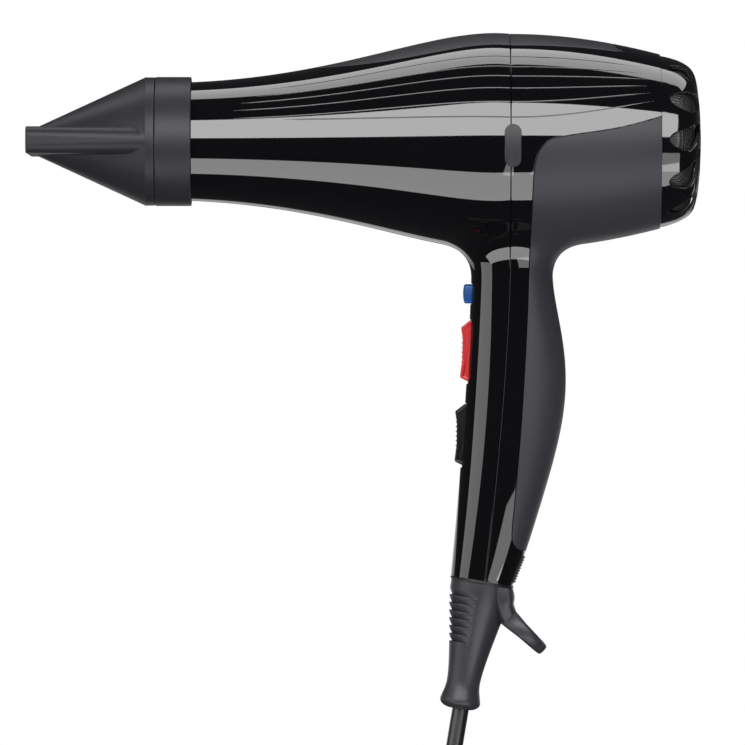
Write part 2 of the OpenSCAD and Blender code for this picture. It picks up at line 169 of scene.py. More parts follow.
def smooth_curve(knots: Sequence[Sequence[float]], per_span: int) -> Array:
    """Catmull-Rom curve through given knots.

    Args:
        knots: The points that the curve passes through.
        per_span: Number of steps between two knots.

    Returns:
        The curve's points, one a row.
    """
    p = np.array(knots, float)
    last = len(p) - 1
    out = []
    for i in range(last):
        a, b, c, d = p[max(i - 1, 0)], p[i], p[i + 1], p[min(i + 2, last)]
        for t in np.arange(per_span) / per_span:
            bend = (2 * a - 5 * b + 4 * c - d) * t**2
            twist = (3 * b - a - 3 * c + d) * t**3
            out.append(0.5 * (2 * b + (c - a) * t + bend + twist))
    return np.array([*out, p[-1]])


@dataclass
class Shape:
    """A finished mesh in millimetres: points, faces, normals, and other normals for grooved faces."""

    points: Array
    faces: Faces
    normals: Array | None = None
    grooved: Array | None = None
    bent: Array | None = None

    def joined(self, other: "Shape") -> "Shape":
        """This shape and another one as a single mesh."""
        start = len(self.points)
        faces = self.faces + [tuple(i + start for i in f) for f in other.faces]
        stacked = []
        for name in ("normals", "grooved", "bent"):
            mine, theirs = getattr(self, name), getattr(other, name)
            both = mine is not None and theirs is not None
            stacked.append(np.concatenate([mine, theirs]) if both else None)
        return Shape(np.vstack([self.points, other.points]), faces, *stacked)

    def outward(self) -> "Shape":
        """This closed shape with its faces pointing outwards."""
        volume = 0.0
        for face in self.faces:
            a = self.points[face[0]]
            for i, j in zip(face[1:], face[2:]):
                volume += a.dot(np.cross(self.points[i], self.points[j]))
        faces = self.faces if volume > 0 else [tuple(reversed(f)) for f in self.faces]
        return Shape(self.points, faces, self.normals, self.grooved, self.bent)

    def build(self, name: str, sharp_deg: float = 35.0) -> bpy.types.Object:
        """Makes the Blender object, in metres, with its place in its mesh.

        Args:
            name: The piece's name.
            sharp_deg: Edges that turn more than this are sharp, where no normals are given.

        Returns:
            The new object.
        """
        mesh = bpy.data.meshes.new(name)
        mesh.from_pydata((self.points * MM).tolist(), [], self.faces)
        mesh.update()
        mesh.shade_smooth()
        if self.normals is None:
            mesh.set_sharp_from_angle(angle=math.radians(sharp_deg))
        else:
            loop_points = np.zeros(len(mesh.loops), np.int32)
            mesh.loops.foreach_get("vertex_index", loop_points)
            normals = self.normals[loop_points].copy()
            if self.grooved is not None:
                inside = np.repeat(self.grooved, [len(f) for f in self.faces])
                normals[inside] = self.bent[loop_points[inside]]
            mesh.normals_split_custom_set(normals.tolist())
        return placed(name, mesh)


@dataclass
class Skin:
    """An open surface that can be cut along level lines, then given a wall."""

    points: Array
    faces: Faces
    settle: Callable[[Array], Array]
    pinned: Array | None = None

    def slide_to(self, points: Array, level: Level) -> Array:
        """Moves points along the surface until level is 0 there."""
        for _ in range(4):
            points = self.settle(towards(level, points))
        return points

    def cut(self, level: Level, snap: float, where: Level | None = None) -> None:
        """Splits the faces along level = 0.

        Args:
            level: The function whose zero line is cut.
            snap: Points nearer the line than this move onto it.
            where: Only faces whose points all have where > 0 are cut.
        """
        if self.pinned is None:
            self.pinned = np.zeros(len(self.points), bool)
        value = level(self.points)
        active = np.ones(len(value), bool) if where is None else where(self.points) > 0
        near = active & ~self.pinned & (np.abs(value) < snap)
        if near.any():
            self.points[near] = self.slide_to(self.points[near], level)
        value[near] = 0
        value[np.abs(value) < 1e-4] = 0
        self.pinned |= active & (value == 0)
        sign = np.sign(value).astype(int).tolist()
        act = active.tolist()
        new_ends: list[tuple[int, int]] = []
        made: dict[tuple[int, int], int] = {}
        start = len(self.points)

        def middle(a: int, b: int) -> int:
            """The new point on an edge that crosses the line."""
            key = (a, b) if a < b else (b, a)
            if key not in made:
                made[key] = start + len(new_ends)
                new_ends.append(key)
            return made[key]

        faces: Faces = []
        whole: Faces = []
        for face in self.faces:
            signs = [sign[i] for i in face]
            if min(signs) >= 0 or max(signs) <= 0 or not all(act[i] for i in face):
                whole.append(face)
                continue
            above: list[int] = []
            below: list[int] = []
            count = len(face)
            for k in range(count):
                a, b = face[k], face[(k + 1) % count]
                if sign[a] >= 0:
                    above.append(a)
                if sign[a] <= 0:
                    below.append(a)
                if sign[a] * sign[b] < 0:
                    m = middle(a, b)
                    above.append(m)
                    below.append(m)
            faces += [tuple(part) for part in (above, below) if len(part) > 2]
        if not new_ends:
            self.faces = whole + faces
            return
        touched = {i for key in new_ends for i in key}
        for face in whole:
            if sum(i in touched for i in face) > 1:
                ring: list[int] = []
                for k, a in enumerate(face):
                    ring.append(a)
                    b = face[(k + 1) % len(face)]
                    m = made.get((a, b) if a < b else (b, a))
                    if m is not None:
                        ring.append(m)
                face = tuple(ring)
            faces.append(face)
        ends = np.array(new_ends)
        va, vb = value[ends[:, 0]], value[ends[:, 1]]
        t = (va / (va - vb))[:, None]
        fresh = self.points[ends[:, 0]] * (1 - t) + self.points[ends[:, 1]] * t
        fresh = self.slide_to(self.settle(fresh), level)
        self.points = np.vstack([self.points, fresh])
        self.pinned = np.concatenate([self.pinned, np.ones(len(fresh), bool)])
        self.faces = faces

    def centres(self) -> Array:
        """The middle of each face."""
        counts = np.array([len(f) for f in self.faces])
        flat = np.array([i for f in self.faces for i in f])
        owner = np.repeat(np.arange(len(self.faces)), counts)
        total = np.zeros((len(self.faces), 3))
        np.add.at(total, owner, self.points[flat])
        return total / counts[:, None]

    def kept(self, level: Level) -> "Skin":
        """The part of the surface where level is above 0, as a new skin."""
        good = level(self.centres()) > 0
        faces = [f for f, g in zip(self.faces, good) if g]
        return Skin(*renumbered(self.points, faces), self.settle)

    def rims(self) -> list[list[int]]:
        """The surface's open edges as closed loops of point numbers, the surface on their left."""
        edges = {}
        for face in self.faces:
            for k, a in enumerate(face):
                edges[(a, face[(k + 1) % len(face)])] = True
        follow = {a: b for a, b in edges if (b, a) not in edges}
        loops = []
        while follow:
            first, here = follow.popitem()
            loop = [first]
            while here != first:
                loop.append(here)
                here = follow.pop(here)
            loops.append(loop)
        return loops

    def walled(
        self,
        normals: Array,
        wall: float,
        edge_r: float,
        sink: Array | None = None,
        grooved: Array | None = None,
        bent: Array | None = None,
    ) -> Shape:
        """A closed solid: this surface, rounded edges and an inner face.

        Args:
            normals: The outward normal at each point.
            wall: The wall's thickness.
            edge_r: The radius of the rounded edges, which grow outwards from the surface's rims.
            sink: How far each outer point is sunk, for grooves.
            grooved: Which of this surface's faces lie in a groove.
            bent: The normal at each point as a grooved face has it.

        Returns:
            The solid.
        """
        outer = self.points if sink is None else self.points - normals * sink[:, None]
        points = [outer]
        point_normals = [normals]
        faces = list(self.faces)
        angles = np.radians([30, 60, 90])
        rims = self.rims()
        at = len(outer)
        inner_start = at + sum(len(rim) for rim in rims) * (len(angles) + 1)
        for rim in rims:
            p = self.points[rim]
            n = normals[rim]
            along = np.roll(p, -1, axis=0) - p
            out = unit(np.cross(along, n))
            both = unit(out + np.roll(out, 1, axis=0))
            stretch = 1 / np.maximum((both * out).sum(axis=1), 0.6)
            out = both * stretch[:, None]
            size = len(rim)
            rows = [list(rim)]
            for angle in angles:
                points.append(p + out * edge_r * math.sin(angle) - n * edge_r * (1 - math.cos(angle)))
                point_normals.append(unit(out * math.sin(angle) + n * math.cos(angle)))
            points.append(p + out * edge_r - n * wall)
            point_normals.append(unit(out - n))
            for _ in range(len(angles) + 1):
                rows.append(list(range(at, at + size)))
                at += size
            rows.append([inner_start + i for i in rim])
            for upper, lower in zip(rows, rows[1:]):
                for k in range(size):
                    m = (k + 1) % size
                    faces.append((upper[k], lower[k], lower[m], upper[m]))
        points.append(self.points - normals * wall)
        point_normals.append(-normals)
        faces += [tuple(inner_start + i for i in reversed(f)) for f in self.faces]
        smooth = np.vstack(point_normals)
        marked, turned_in = np.zeros(len(faces), bool), smooth.copy()
        if grooved is not None:
            marked[: len(grooved)] = grooved
            turned_in[: len(bent)] = bent
        return Shape(np.vstack(points), faces, smooth, marked, turned_in)


def loft(rings: Sequence[Array], capped: bool = True) -> Shape:
    """A surface over rings of equal size, each ring's points in the same turning sense.

    Args:
        rings: The rings, in order along the loft.
        capped: Whether the first and the last ring are closed by a face.

    Returns:
        The lofted shape.
    """
    size = len(rings[0])
    faces = []
    for j in range(len(rings) - 1):
        for i in range(size):
            k = (i + 1) % size
            faces.append((j * size + i, j * size + k, (j + 1) * size + k, (j + 1) * size + i))
    if capped:
        faces.append(tuple(reversed(range(size))))
        faces.append(tuple(range((len(rings) - 1) * size, len(rings) * size)))
    return Shape(np.vstack(rings), faces)


def closed_loft(rings: Sequence[Array]) -> Shape:
    """A surface over rings whose last ring joins the first, facing outwards."""
    shape = loft([*rings, rings[0]], False)
    size = len(rings) * len(rings[0])
    return Shape(shape.points[:size], [tuple(i % size for i in f) for f in shape.faces]).outward()


def turned(profile: Sequence[Pair], steps: int) -> Shape:
    """A solid turned about the X axis through the origin, from a profile that closes on itself.

    Args:
        profile: Points (x, radius) in order round the solid's half section.
        steps: Number of steps round the axis.

    Returns:
        The turned shape.
    """
    angle = angles_round(steps)
    return closed_loft(
        [np.stack([np.full(steps, x), r * np.sin(angle), r * np.cos(angle)], 1) for x, r in profile]
    )


def moved(shape: Shape, shift: Sequence[float], spin: Array | None = None) -> Shape:
    """The shape turned by a matrix and then shifted."""
    turn = np.eye(3) if spin is None else spin
    normals = None if shape.normals is None else shape.normals @ turn.T
    return Shape(shape.points @ turn.T + np.array(shift, float), shape.faces, normals)


def turn_y(degrees: float) -> Array:
    """The matrix that turns about the Y axis, which takes +Z towards +X."""
    c, s = math.cos(math.radians(degrees)), math.sin(math.radians(degrees))
    return np.array([[c, 0, s], [0, 1, 0], [-s, 0, c]])


def sweep(path: Array, radius: float, sides: int) -> Shape:
    """A round tube along a path, without twist and closed at both ends.

    Args:
        path: The centre line's points.
        radius: Its radius.
        sides: Number of sides.

    Returns:
        The tube.
    """
    tangent = unit(np.gradient(path, axis=0))
    side = np.cross(tangent[0], [0.0, 1.0, 0.0])
    if np.linalg.norm(side) < 0.1:
        side = np.cross(tangent[0], [1.0, 0.0, 0.0])
    side = unit(side)
    angle = angles_round(sides)
    rings = []
    for p, t in zip(path, tangent):
        side = unit(side - t * side.dot(t))
        other = np.cross(t, side)
        rings.append(p + radius * (np.outer(np.cos(angle), side) + np.outer(np.sin(angle), other)))
    return loft(rings)


# ---------------- the dryer's form


@dataclass(frozen=True)
class DryerForm:
    """The outer form of barrel and handle, blended into one smooth surface."""

    axis_z: float = 108.0
    mouth_x: float = -143.4
    grille_x: float = 62.0
    front_x: float = -149.0
    rear_x: float = 64.5
    front_heights: tuple[float, ...] = (24.8, 24.2, 28.7, 32.8, 48.4, 45.2)
    rear_heights: tuple[float, ...] = (45.2, 45.2, 41.8, 36.0)
    front_edge: tuple[float, ...] = (-25.7, -21.5, -17.9, -16.8)
    back_edge: tuple[float, ...] = (1.3, 13.2, 13.5, 38.0, 15.6, 17.3)
    foot_half: float = 13.25
    grip_half: float = 16.0
    corner: float = 2.353
    blend: float = 13.0
    foot: Pair = (-12.3, -76.3)
    lean: float = 9.6
    seam_top: float = -0.8

    def barrel_radius(self, x: Array) -> Array:
        """Radius of the barrel at x."""
        front = bezier(self.front_heights, np.clip((x - self.front_x) / -self.front_x, 0, 1))
        rear = bezier(self.rear_heights, np.clip(x / self.rear_x, 0, 1))
        return np.where(x < 0, front, rear)

    def handle_section(self, z: Array) -> tuple[Array, Array, Array]:
        """Middle x, half length and half width of the handle's level section at z."""
        height = z + 76
        u = np.clip(height / 132, 0, 1)
        low = np.minimum(height, 0)
        front = bezier(self.front_edge, u) + low * 0.17
        back = bezier(self.back_edge, u) + low * 0.3
        rise = np.clip(height / 60, 0, 1)
        half = self.foot_half + (self.grip_half - self.foot_half) * rise * (2 - rise)
        return (front + back) / 2, (back - front) / 2, half

    def distance(self, p: Array) -> Array:
        """Signed distance, close to true near the surface, to the blended form."""
        z = p[:, 2] - self.axis_z
        barrel = np.hypot(p[:, 1], z) - self.barrel_radius(p[:, 0])
        middle, half_x, half_y = self.handle_section(p[:, 2])
        dx = (p[:, 0] - middle) / half_x
        dy = p[:, 1] / half_y
        n = self.corner
        rho = (np.abs(dx) ** n + np.abs(dy) ** n + 1e-9) ** (1 / n)
        gx = rho ** (1 - n) * np.abs(dx) ** (n - 1) / half_x
        gy = rho ** (1 - n) * np.abs(dy) ** (n - 1) / half_y
        handle = (rho - 1) / np.maximum(np.hypot(gx, gy), 1e-3)
        handle = np.maximum(handle, p[:, 2] - 80)
        h = np.clip(0.5 + 0.5 * (handle - barrel) / self.blend, 0, 1)
        return handle * (1 - h) + barrel * h - self.blend * h * (1 - h)

    def normal(self, p: Array) -> Array:
        """Outward unit normal."""
        return unit(slope(self.distance, p, 0.02))

    def settle(self, p: Array) -> Array:
        """Moves points onto the surface."""
        for _ in range(3):
            p = towards(self.distance, p, 0.02)
        return p

    def seam_x(self, z: Array) -> Array:
        """Where the two shells meet, by height."""
        straight_above, foot_back = 60, 10.4
        drop = straight_above - z
        return self.seam_top - foot_back * np.clip(drop / 136, 0, None) ** 1.5

    def skin(self) -> Skin:
        """The whole outer surface as an orderly grid, open at the mouth, the grille and the foot."""
        step = 2.0
        rows = int(360 / step)
        hole_x = 29.4
        hole_deg = 38.0
        front = np.linspace(self.mouth_x, -hole_x, 73)
        middle = np.linspace(-hole_x, hole_x, 38)[1:]
        back = np.linspace(hole_x, self.grille_x, 22)[1:]
        xs = np.concatenate([front, middle, back])
        i0, i1 = len(front) - 1, len(front) - 1 + len(middle)
        j0, j1 = int((180 - hole_deg) / step), int((180 + hole_deg) / step)
        theta = np.radians(np.arange(rows) * step)
        radius = self.barrel_radius(xs)
        across, up = np.outer(radius, np.sin(theta)), np.outer(radius, np.cos(theta))
        grid = np.stack([np.repeat(xs[:, None], rows, 1), across, self.axis_z + up], axis=2)
        points = [grid.reshape(-1, 3)]
        faces = []
        for i in range(len(xs) - 1):
            for j in range(rows):
                if i0 <= i < i1 and j0 <= j < j1:
                    continue
                k = (j + 1) % rows
                faces.append((i * rows + j, (i + 1) * rows + j, (i + 1) * rows + k, i * rows + k))
        loop = [(i, j0) for i in range(i0, i1)] + [(i1, j) for j in range(j0, j1)]
        loop += [(i, j1) for i in range(i1, i0, -1)] + [(i0, j) for j in range(j1, j0, -1)]
        top_ids = [i * rows + j for i, j in loop]
        top = points[0][top_ids]
        size = len(loop)

        collar_z = 44.0
        middle_x, half_x, half_y = self.handle_section(np.full(size, collar_z))
        phi = np.arctan2(top[:, 1] / half_y, (top[:, 0] - middle_x) / half_x)

        def handle_ring(z: float, tilt: float) -> Array:
            """One ring round the handle, level or tilted towards the foot's slant."""
            level = np.full(size, z)
            n = self.corner
            for _ in range(4):
                mid, half, wide = self.handle_section(level)
                norm = (np.abs(np.cos(phi)) ** n + np.abs(np.sin(phi)) ** n) ** (1 / n)
                x = mid + half * np.cos(phi) / norm
                y = wide * np.sin(phi) / norm
                level = z - tilt * (x - self.foot[0]) * math.tan(math.radians(self.lean))
            return np.stack([x, y, level], 1)

        bottom = handle_ring(collar_z, 0)
        blend_rows = 18
        web = np.stack([top + (bottom - top) * t for t in np.linspace(0, 1, blend_rows)])
        for _ in range(25):
            web[1:-1] = self.settle(web[1:-1].reshape(-1, 3)).reshape(web[1:-1].shape)
            around = (np.roll(web, 1, axis=1) + np.roll(web, -1, axis=1))[1:-1]
            web[1:-1] = (around + web[:-2] + web[2:]) / 4
        web[1:-1] = self.settle(web[1:-1].reshape(-1, 3)).reshape(web[1:-1].shape)
        tall = 82
        drop = self.foot[1] - collar_z
        rings = [handle_ring(collar_z + drop * t / tall, (t / tall) ** 2) for t in range(tall + 1)]
        all_rings = [web[k] for k in range(1, blend_rows - 1)] + rings
        last = top_ids
        at = len(points[0])
        for ring in all_rings:
            points.append(ring)
            here = list(range(at, at + size))
            for k in range(size):
                m = (k + 1) % size
                faces.append((last[k], last[m], here[m], here[k]))
            last = here
            at += size
        stacked, numbered = renumbered(np.vstack(points), faces)
        first = np.array([f[:3] for f in numbered])
        a, b, c = (stacked[first[:, k]] for k in range(3))
        outwards = (np.cross(b - a, c - a) * self.normal((a + b + c) / 3)).sum(axis=1) > 0
        numbered = [f if good else tuple(reversed(f)) for f, good in zip(numbered, outwards)]
        return Skin(stacked, numbered, self.settle)


FORM = DryerForm()


def inside_by(outline: Array, points: Array) -> Array:
    """Signed distance from flat points to a closed outline, positive inside.

    Args:
        outline: The outline's corners, one a row.
        points: The points, one a row.

    Returns:
        One distance for each point.
    """
    a = outline
    b = np.roll(outline, -1, axis=0)
    span = b - a
    best = np.full(len(points), 1e9)
    crossings = np.zeros(len(points), int)
    for p0, p1, d in zip(a, b, span):
        rel = points - p0
        t = np.clip(rel @ d / max(d @ d, 1e-12), 0, 1)
        best = np.minimum(best, np.hypot(*(rel - t[:, None] * d).T))
        hits = (p0[1] > points[:, 1]) != (p1[1] > points[:, 1])
        reach = p0[0] + (points[:, 1] - p0[1]) * d[0] / (d[1] if abs(d[1]) > 1e-12 else 1e-12)
        crossings += hits & (points[:, 0] < reach)
    return np.where(crossings % 2 == 1, best, -best)


def rounded_box(a: Array, b: Array, half_a: float, half_b: float, corner: float) -> Array:
    """Signed distance to a rounded rectangle about the origin, negative inside."""
    qa = np.abs(a) - half_a + corner
    qb = np.abs(b) - half_b + corner
    outside = np.hypot(np.maximum(qa, 0), np.maximum(qb, 0))
    return outside + np.minimum(np.maximum(qa, qb), 0) - corner


def shrunk(outline: Array, inset: float) -> Array:
    """A closed flat outline moved inwards by inset. The outline runs anticlockwise."""
    before = unit(outline - np.roll(outline, 1, axis=0))
    after = unit(np.roll(outline, -1, axis=0) - outline)
    tangent = unit(before + after)
    left = np.stack([-tangent[:, 1], tangent[:, 0]], axis=1)
    return outline + left * inset


def rounded_outline(corners: Sequence[Pair], radius: float, steps: int = 5) -> Array:
    """A polygon with round corners, anticlockwise."""
    p = np.array(corners, float)
    out = []
    for k in range(len(p)):
        here, before, after = p[k], p[k - 1], p[(k + 1) % len(p)]
        into, away = unit(before - here), unit(after - here)
        half = math.acos(np.clip(into @ away, -0.999, 0.999)) / 2
        reach = min(radius / math.tan(half), 0.45 * np.linalg.norm(before - here))
        reach = min(reach, 0.45 * np.linalg.norm(after - here))
        start, end = here + into * reach, here + away * reach
        for t in np.linspace(0, 1, steps):
            out.append(start * (1 - t) ** 2 + 2 * here * t * (1 - t) + end * t**2)
    out = np.array(out)
    area = np.sum(out[:, 0] * np.roll(out[:, 1], -1) - np.roll(out[:, 0], -1) * out[:, 1])
    return out if area > 0 else out[::-1]


def rounded_rectangle(half_u: float, half_v: float, radius: float, steps: int = 5) -> Array:
    """A rectangle about the origin with round corners, anticlockwise."""
    corners = [(-half_u, -half_v), (half_u, -half_v), (half_u, half_v), (-half_u, half_v)]
    return rounded_outline(corners, radius, steps)


def rounded_levels(low: float, high: float, edge: float) -> list[Pair]:
    """Insets and heights that round a slab's lower edge and then its upper edge."""
    turns = np.linspace(0, RIGHT_ANGLE, 5)
    lower = [(edge * (1 - math.sin(t)), low + edge * (1 - math.cos(t))) for t in turns]
    return lower + [(edge * (1 - math.cos(t)), high - edge * (1 - math.sin(t))) for t in turns]


def pillow(outline: Array, low: float, high: float, edge: float, dome: float = 0.0) -> Shape:
    """A flat outline given a thickness along +w, with rounded edges and a domed top.

    Args:
        outline: Points (u, v), anticlockwise.
        low: The flat bottom's place along w.
        high: The top's place along w.
        edge: Radius of the rounded edge.
        dome: How far the top's middle stands above its edge.

    Returns:
        The slab, its points as (u, v, w).
    """
    layers = [(shrunk(outline, inset), w) for inset, w in rounded_levels(low, high, edge)]
    centre = outline.mean(axis=0)
    for share in (0.75, 0.5, 0.25, 0.06):
        flat = centre + (shrunk(outline, edge) - centre) * share
        layers.append((flat, high + dome * (1 - share**2)))
    rings = [np.column_stack([flat, np.full(len(flat), w)]) for flat, w in layers]
    return loft(rings).outward()


# ---------------- Geometry Nodes


def add_node(
    tree: bpy.types.NodeTree,
    kind: str,
    links: Mapping[str | int, bpy.types.NodeSocket] | None = None,
    values: Mapping[str | int, float | Sequence[float]] | None = None,
    **settings: object,
) -> bpy.types.Node:
    """Adds a node to a tree.

    Args:
        tree: The tree.
        kind: The node's type.
        links: The sockets that feed it, by its inputs' names or numbers.
        values: What its other inputs are set to.
        settings: Its own settings.

    Returns:
        The new node.
    """
    node = tree.nodes.new(kind)
    for name, value in settings.items():
        setattr(node, name, value)
    for key, value in (values or {}).items():
        node.inputs[key].default_value = value
    for key, socket in (links or {}).items():
        tree.links.new(socket, node.inputs[key])
    return node


class Repeat:
    """Repeats one modelled detail in a row with Geometry Nodes, as a plain mesh."""

    def __init__(self) -> None:
        """Builds the node tree, which every repeat shares."""
        tree = bpy.data.node_groups.new("repeat_detail", "GeometryNodeTree")
        face = tree.interface
        face.new_socket("Geometry", in_out="INPUT", socket_type="NodeSocketGeometry")
        self.inputs = {}
        kinds = {"Count": "Int", "Start": "Vector", "Step": "Vector", "Finish": "Material"}
        for name, kind in kinds.items():
            socket = face.new_socket(name, in_out="INPUT", socket_type="NodeSocket" + kind)
            self.inputs[name] = socket.identifier
        face.new_socket("Geometry", in_out="OUTPUT", socket_type="NodeSocketGeometry")
        entry = add_node(tree, "NodeGroupInput").outputs
        along = {"Count": entry["Count"], "Start Location": entry["Start"], "Offset": entry["Step"]}
        row = add_node(tree, "GeometryNodeMeshLine", along, mode="OFFSET")
        spots = {"Points": row.outputs["Mesh"], "Instance": entry["Geometry"]}
        place = add_node(tree, "GeometryNodeInstanceOnPoints", spots)
        real = add_node(tree, "GeometryNodeRealizeInstances", {"Geometry": place.outputs["Instances"]})
        coat = {"Geometry": real.outputs["Geometry"], "Material": entry["Finish"]}
        dress = add_node(tree, "GeometryNodeSetMaterial", coat)
        add_node(tree, "NodeGroupOutput", {"Geometry": dress.outputs["Geometry"]})
        self.tree = tree

    def make(
        self,
        detail: Shape,
        name: str,
        finish: bpy.types.Material,
        count: int,
        start: Sequence[float],
        step: Sequence[float],
    ) -> bpy.types.Object:
        """Repeats a detail.

        Args:
            detail: The detail, modelled about the origin.
            name: The finished piece's name.
            finish: Its material.
            count: How many copies.
            start: The first copy's place, in millimetres.
            step: From one copy to the next, in millimetres.

        Returns:
            The repeated detail as one mesh object.
        """
        source = detail.build(name + "_source")
        modifier = source.modifiers.new("repeat", "NODES")
        modifier.node_group = self.tree
        modifier[self.inputs["Count"]] = count
        modifier[self.inputs["Start"]] = [c * MM for c in start]
        modifier[self.inputs["Step"]] = [c * MM for c in step]
        modifier[self.inputs["Finish"]] = finish
        bpy.context.view_layer.update()
        graph = bpy.context.evaluated_depsgraph_get()
        mesh = bpy.data.meshes.new_from_object(source.evaluated_get(graph))
        mesh.name = name
        bpy.data.objects.remove(source)
        return placed(name, mesh)


def joined_pieces(name: str, pieces: Sequence[bpy.types.Object]) -> bpy.types.Object:
    """Joins finished objects into one piece, which keeps the first one's mesh settings."""
    with bpy.context.temp_override(
        active_object=pieces[0], object=pieces[0], selected_editable_objects=list(pieces)
    ):
        bpy.ops.object.join()
    pieces[0].name = name
    pieces[0].data.name = name
    return pieces[0]


# ---------------- finishes


class Effects:
    """Shader node groups that several finishes share. They put out values and colours only."""

    def __init__(self) -> None:
        """Builds each group once."""
        self.surface = self._surface_group()
        self.wear_and_highlight = self._wear_and_highlight_group()
        self.brushed = self._brushed_group()

    @staticmethod
    def _new(name: str, inputs: dict[str, float], outputs: Sequence[str]) -> tuple:
        """Makes an empty group with a vector input, some values in and some values out."""
        tree = bpy.data.node_groups.new(name, "ShaderNodeTree")
        tree.interface.new_socket("Place", in_out="INPUT", socket_type="NodeSocketVector")
        for label, value in inputs.items():
            socket = tree.interface.new_socket(label, in_out="INPUT", socket_type="NodeSocketFloat")
            socket.default_value = value
        for label in outputs:
            tree.interface.new_socket(label, in_out="OUTPUT", socket_type="NodeSocketFloat")
        return tree, tree.nodes.new("NodeGroupInput"), tree.nodes.new("NodeGroupOutput")

    def _surface_group(self) -> bpy.types.NodeTree:
        """Moulded grain, soft blotches and fine dust."""
        tree, entry, leave = self._new(
            "moulded_surface", {"Grain Scale": 900.0, "Blotch Scale": 30.0}, ["Grain", "Blotch", "Dust"]
        )
        place = entry.outputs["Place"]
        fine = {"Vector": place, "Scale": entry.outputs["Grain Scale"]}
        grain = add_node(tree, "ShaderNodeTexNoise", fine, {"Detail": 2.0})
        broad = {"Vector": place, "Scale": entry.outputs["Blotch Scale"]}
        blotch = add_node(tree, "ShaderNodeTexNoise", broad, {"Detail": 5.0, "Roughness": 0.6})
        speck = add_node(tree, "ShaderNodeTexVoronoi", {"Vector": place}, {"Scale": 420.0})
        limits = {"From Min": 0.09, "From Max": 0.03}
        pick = add_node(tree, "ShaderNodeMapRange", {"Value": speck.outputs["Distance"]}, limits)
        factors = {0: pick.outputs["Result"], 1: blotch.outputs["Fac"]}
        thin = add_node(tree, "ShaderNodeMath", factors, operation="MULTIPLY")
        tree.links.new(grain.outputs["Fac"], leave.inputs["Grain"])
        tree.links.new(blotch.outputs["Fac"], leave.inputs["Blotch"])
        tree.links.new(thin.outputs[0], leave.inputs["Dust"])
        return tree

    def _wear_and_highlight_group(self) -> bpy.types.NodeTree:
        """A mask that is high along convex edges, broken up by noise: rubbed wear on some finishes, a
        painted highlight on others.
        """
        tree, entry, leave = self._new("edge_wear_and_highlight", {"Start": 0.53, "End": 0.62}, ["Wear"])
        form = add_node(tree, "ShaderNodeNewGeometry")
        limits = {"From Min": entry.outputs["Start"], "From Max": entry.outputs["End"]}
        edge = add_node(tree, "ShaderNodeMapRange", {"Value": form.outputs["Pointiness"], **limits})
        place = {"Vector": entry.outputs["Place"]}
        rub = add_node(tree, "ShaderNodeTexNoise", place, {"Scale": 180.0, "Detail": 4.0})
        factors = {0: edge.outputs["Result"], 1: rub.outputs["Fac"]}
        both = add_node(tree, "ShaderNodeMath", factors, operation="MULTIPLY")
        tree.links.new(both.outputs[0], leave.inputs["Wear"])
        return tree

    def _brushed_group(self) -> bpy.types.NodeTree:
        """Fine parallel scratches along X."""
        tree, entry, leave = self._new("brushed_metal", {"Scale": 600.0}, ["Scratch"])
        place = {0: entry.outputs["Place"]}
        squeeze = {1: (0.06, 1.0, 1.0)}
        stretch = add_node(tree, "ShaderNodeVectorMath", place, squeeze, operation="MULTIPLY")
        across = {"Vector": stretch.outputs["Vector"], "Scale": entry.outputs["Scale"]}
        lines = add_node(tree, "ShaderNodeTexNoise", across, {"Detail": 3.0})
        tree.links.new(lines.outputs["Fac"], leave.inputs["Scratch"])
        return tree


EFFECTS = Effects()


WAVES_PER_PITCH = 0.314


class Pattern(Enum):
    """What is drawn on a finish besides its grain."""

    PLAIN = "plain"
    BRUSHED = "brushed"
    WOUND = "wound"
    WOVEN = "woven"
    FLAKED = "flaked"


